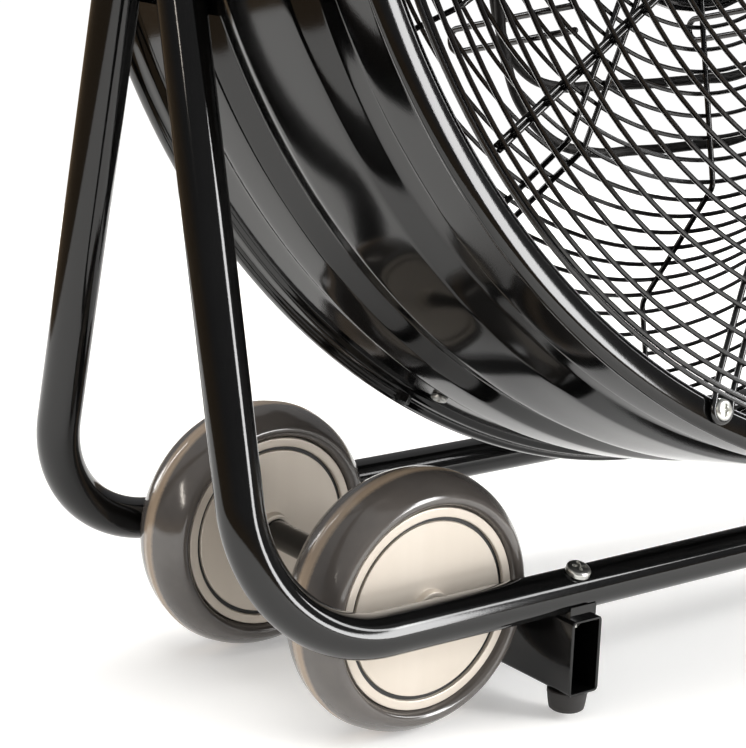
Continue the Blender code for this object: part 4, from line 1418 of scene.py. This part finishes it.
@dataclass
class Lead:
    """The mains lead: out of the gland, twice round the four hooks and down to its plug."""

    shop: Workshop
    radius: float = 2.8
    half_x: float = 36.0
    gland_y: float = 168.3
    pitch: float = 6.6
    first_bend: float = 31.0
    top: float = 112.0
    hook: tuple[float, float] = (89.8, 95.3)
    hook_half: float = 6.2
    hook_back: float = 133.8

    def winding(
        self, y: float, reach: float, drop: float, corner: float, low_corner: float
    ) -> Array:
        """One turn round the hooks: c + R (cos a, sin a) at each of four corners, 30 degrees apart.

        Args:
            y: How far back the turn starts.
            reach: Its half width.
            drop: How far its lower run hangs under the axis.
            corner: The bend radius over the upper hooks.
            low_corner: The bend radius of its slack lower corners.

        Returns:
            The turn's points in the drum's axes.
        """
        knots = []
        for number, (x_sign, v_sign, first) in enumerate(
            ((1, 1, 90), (1, -1, 0), (-1, -1, -90), (-1, 1, 180))
        ):
            bend = corner if v_sign > 0 else low_corner
            a = np.radians(first - 30.0 * np.arange(4))
            x = x_sign * (reach - bend) + bend * np.cos(a)
            v = (self.top - bend if v_sign > 0 else bend - drop) + bend * np.sin(a)
            knots.append(
                np.stack([x, y - self.pitch * (4 * number + np.arange(4)) / 16, v], axis=1)
            )
            if v_sign < 0 < x_sign:
                knots.append(np.array([[0.0, knots[-1][-1, 1] - self.pitch / 32, -drop - 1.0]]))
        return np.concatenate(knots)

    def route(self) -> Array:
        """The model's own lead with a wider first bend, in the drum's axes.

        Returns:
            The smooth middle line.
        """
        x, y, last = self.half_x, self.gland_y, 86.0 - 2 * self.pitch
        a = np.radians([0.0, 28.0, 56.0, 82.0])
        bend = self.first_bend
        knots = [-x - 14.0 - bend * np.sin(a), y - 0.1 * a**2, bend * (1.0 - np.cos(a))]
        lead = [[-x - 2.0, y, 0.0], *np.stack(knots, axis=1).tolist()]
        lead += [
            [-80.0, 165.0, 46.0], [-74.0, 156.0, 69.0], [-53.0, 137.0, 93.0], [-16.0, 110.0, 107.0]
        ]
        lead += [[28.0, 92.0, 111.5]]
        turns = [self.winding(86.0, 105.0, 127.0, 30.0, 42.0)]
        turns.append(self.winding(86.0 - self.pitch, 108.0, 163.0, 32.0, 58.0))
        tail = [[84.0, last, 111.5], [104.0, last, 101.0], [120.0, last, 76.0]]
        tail += [[133.0, last, 38.0], [139.0, last, 2.0], [140.0, last, -38.0]]
        knots = np.concatenate([np.array(lead), *turns, np.array(tail)])
        gaps = np.linalg.norm(np.diff(knots, axis=0), axis=1)
        spans = [
            np.linspace(start, end, 2 if gap < 42.0 else int(gap // 21.0) + 1)[:-1]
            for start, end, gap in zip(knots, knots[1:], gaps)
        ]
        knots = np.concatenate([*spans, knots[-1:]])
        return smooth_line(knots, 640)

    def hooks(self) -> None:
        """U-shaped wires that stand back from the dish: two legs and a half circle between them."""
        x, v = self.hook
        a = np.linspace(0.0, math.pi, 21)[:, None]
        back = np.array([0.0, 1.0, 0.0])
        for number, (x_sign, v_sign) in enumerate(((-1, -1), (1, -1), (1, 1), (-1, 1)), 1):
            centre = np.array([x_sign * x, 0.0, v_sign * v])
            run = np.linspace(39.6, self.hook_back, 10)[:, None]
            upper = centre + self.hook_half * UP + run * back
            lower = centre - self.hook_half * UP + run[::-1] * back
            bend = centre + self.hook_back * back + self.hook_half * (
                np.cos(a) * UP + np.sin(a) * back
            )
            path, radii = round_ended(np.concatenate([upper, bend[1:-1], lower]), 1.8, 4)
            shell = carried(path, radii, 14, ACROSS, False)
            name = f"wire_hook_{number}"
            wire = self.shop.finishes.wire_enamel
            self.shop.piece(name, in_drum(shell), wire, "drum", [f"cord_hook_{number}"])

    def plug(self, end: Array, way: Array) -> Shell:
        """A moulded plug: ribbed neck, shoulder and round body, drawn without its pins.

        Args:
            end: Where the lead goes in.
            way: The lead's direction there.

        Returns:
            The plug.
        """
        outline = [(0.01, -1.0), (3.4, -1.0), (4.4, 0.5)]
        for k in range(5):
            r, h = 5.2 + 0.3 * k, 2.4 * k
            outline += [(r, h + 1.0), (r, h + 2.2), (r - 0.8, h + 2.5)]
        outline += [(7.4, 14.5), (12.0, 17.6), (15.4, 22.0), (16.0, 25.0), (16.0, 40.0)]
        outline += [(15.2, 41.8), (0.01, 42.0)]
        body = turned(np.array(outline), 64, closed=False)
        return body.moved(onto(way), end)

    def lead(self, path: Array) -> bpy.types.Object:
        """The sheath as a curve of one spline with a round bevel.

        Args:
            path: The middle line in the part's own axes, in millimetres.

        Returns:
            The curve object.
        """
        line = bpy.data.curves.new("mains_lead", "CURVE")
        line.dimensions = "3D"
        line.bevel_depth = self.radius * MM
        line.bevel_resolution = 4
        line.use_fill_caps = True
        spline = line.splines.new("POLY")
        spline.points.add(len(path) - 1)
        rows = np.concatenate([path * MM, np.ones((len(path), 1))], axis=1)
        spline.points.foreach_set("co", rows.ravel())
        made = bpy.data.objects.new("mains_lead", line)
        bpy.context.scene.collection.objects.link(made)
        line.materials.append(self.shop.material(self.shop.finishes.rubber))
        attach(made, "drum")
        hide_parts("power_cord")
        return made

    def build(self) -> None:
        own = self.route()
        path = own @ drum_turn().T + PIVOT
        made = self.lead(path)
        way = own[-1] - own[-2]
        way /= np.linalg.norm(way)
        plug_shell = in_drum(self.plug(own[-1] + way * 0.3, way))
        plug = self.shop.piece("moulded_plug", plug_shell, self.shop.finishes.abs, "drum", ["plug"])
        self.hooks()


# ------------------------------------------------------------------ studio


@dataclass
class Studio:
    """Pale floor, soft boxes and the camera."""

    lens_mm: float = 105.839
    sensor_mm: float = 36.0
    spot: tuple = (-841.0, -830.9, 424.1)
    yaw: float = 0.922
    pitch: float = -0.258
    roll: float = 0.037
    sheet_x: float = 0.25
    sheet_r: float = 1.15
    boards: str = "957F65"
    wall: str = "78787A"
    ceiling: str = "C2C2C2"

    def camera(self) -> None:
        """Looks along (cos p cos y, cos p sin y, sin p), rolled a little."""
        data = bpy.data.cameras.new("studio_camera")
        data.lens = self.lens_mm
        data.sensor_width = self.sensor_mm
        data.clip_start = 0.01
        data.clip_end = 60.0
        eye = bpy.data.objects.new("studio_camera", data)
        bpy.context.scene.collection.objects.link(eye)
        cp, sp = math.cos(self.pitch), math.sin(self.pitch)
        cy, sy = math.cos(self.yaw), math.sin(self.yaw)
        look = np.array([cp * cy, cp * sy, sp])
        level = np.array([sy, -cy, 0.0])
        above = np.cross(level, look)
        right = math.cos(self.roll) * level + math.sin(self.roll) * above
        top = -math.sin(self.roll) * level + math.cos(self.roll) * above
        matrix = np.eye(4)
        matrix[:3, 0], matrix[:3, 1], matrix[:3, 2] = right, top, -look
        matrix[:3, 3] = np.array(self.spot) * MM
        eye.matrix_world = Matrix(matrix.tolist())
        bpy.context.scene.camera = eye

    def soft_box(
        self, name: str, at: Sequence, aim: Sequence, size: tuple, watts: float, tint: str,
        mirrored: bool = True,
    ) -> None:
        """A rectangular light that looks at a point.

        Args:
            name: The light's name.
            at: Where it stands, in metres.
            aim: What it looks at.
            size: Its width and height.
            watts: Its power.
            tint: Its colour.
            mirrored: Whether glossy surfaces show it.
        """
        data = bpy.data.lights.new(name, "AREA")
        data.shape = "RECTANGLE"
        data.size, data.size_y = size
        data.energy = watts
        data.color = linear(tint)[:3]
        lamp = bpy.data.objects.new(name, data)
        bpy.context.scene.collection.objects.link(lamp)
        back = np.array(at, float) - np.array(aim, float)
        matrix = np.eye(4)
        matrix[:3, :3] = onto(back, ACROSS)
        matrix[:3, 3] = at
        lamp.matrix_world = Matrix(matrix.tolist())
        lamp.visible_glossy = mirrored

    def floor(self) -> None:
        """A white sheet under the fan and, round it, a paler floor that curves up into a wall."""
        near = np.array([[0.0, 0.0], [0.4, 0.0], [0.8, 0.0], [self.sheet_r, 0.0]])
        a = np.radians(np.linspace(0.0, 90.0, 13))
        far = np.array([[self.sheet_r, 0.0], [2.5, 0.0], [5.0, 0.0]])
        sweep = np.stack([7.0 + 3.0 * np.sin(a), 3.0 - 3.0 * np.cos(a)], axis=1)
        far = np.concatenate([far, sweep, [[10.0, 9.0]]])
        for name, outline, glow in (("studio_sheet", near, 0.3), ("studio_floor", far, 1.05)):
            grid = swept(outline[:, :1], outline[:, 1:], full_turn(64))
            shell = grid_shell(grid + self.sheet_x * ACROSS, False, True)
            mesh = bpy.data.meshes.new(name)
            mesh.from_pydata(shell.points.tolist(), [], shell.quads.tolist())
            mesh.update()
            mesh.shade_smooth()
            mesh.materials.append(self.paint(name, glow))
            made = bpy.data.objects.new(name, mesh)
            bpy.context.scene.collection.objects.link(made)
            made.visible_glossy = made.visible_diffuse = glow < 1.0

    def paint(self, name: str, glow: float) -> bpy.types.Material:
        """Matt white paint on a studio sweep: almost no gloss, lit from behind where it glows.

        Args:
            name: The name of what it covers.
            glow: How much light it gives by itself.

        Returns:
            The material.
        """
        material = bpy.data.materials.new(f"{name}_paint")
        material.use_nodes = True
        shader = material.node_tree.nodes["Principled BSDF"]
        shader.inputs["Base Color"].default_value = linear("F7F6F4" if glow < 1.0 else "000000")
        shader.inputs["Roughness"].default_value = 0.9
        shader.inputs["Specular IOR Level"].default_value = 0.1
        shader.inputs["Emission Color"].default_value = linear("FFFFFF")
        shader.inputs["Emission Strength"].default_value = glow
        return material

    def world(self) -> None:
        """A dim room by height: brown boards under the horizon and grey walls above it."""
        world = bpy.data.worlds.new("studio_room")
        bpy.context.scene.world = world
        world.use_nodes = True
        tree = world.node_tree
        spot = add(tree, "ShaderNodeTexCoord").outputs["Generated"]
        height = add(tree, "ShaderNodeSeparateXYZ", {"Vector": spot}).outputs["Z"]
        limits = {"Value": height, "From Min": -1.0, "From Max": 1.0}
        share = add(tree, "ShaderNodeMapRange", limits).outputs["Result"]
        stops = [
            (0.46, linear(self.boards)), (0.54, linear(self.wall)), (1.0, linear(self.ceiling))
        ]
        tree.links.new(ramp(tree, share, stops), tree.nodes["Background"].inputs["Color"])

    def build(self) -> None:
        """Sets the camera, floor, room and lights."""
        self.camera()
        self.floor()
        self.world()
        bpy.context.scene.view_settings.view_transform = "Standard"
        fan, under = (-0.1, 0.0, 0.3), (0.2, 0.1, 0.0)
        self.soft_box("overhead", (0.3, 0.3, 4.0), under, (5.0, 5.0), 235.0, "FFFEFC", False)
        self.soft_box("right_strip", (1.15, -2.25, 0.95), fan, (0.6, 1.9), 66.0, "FFFFFF")
        self.soft_box("far_strip", (1.9, -1.5, 1.3), fan, (1.6, 0.4), 26.0, "FFFFFF")
        self.soft_box("left_strip", (-2.6, -0.6, 1.2), fan, (0.1, 1.4), 10.0, "FFF6EA")
        self.soft_box("rear_strip", (-1.2, 2.6, 1.2), fan, (0.3, 2.0), 18.0, "FFFFFF")


def main() -> None:
    """Builds the studio and the lead first, then each sub-assembly in order."""
    logging.basicConfig(level=logging.INFO, format="%(name)s %(message)s")
    shop = Workshop()
    Studio().build()
    Lead(shop).build()
    for assembly in (TubeFrame, FootBars, Wheels, Drum, Guards, Motor, Fan, Switch, TiltKnobs):
        assembly(shop).build()
        LOG.info("%s done", assembly.__name__)


if __name__ == "__main__":
    main()
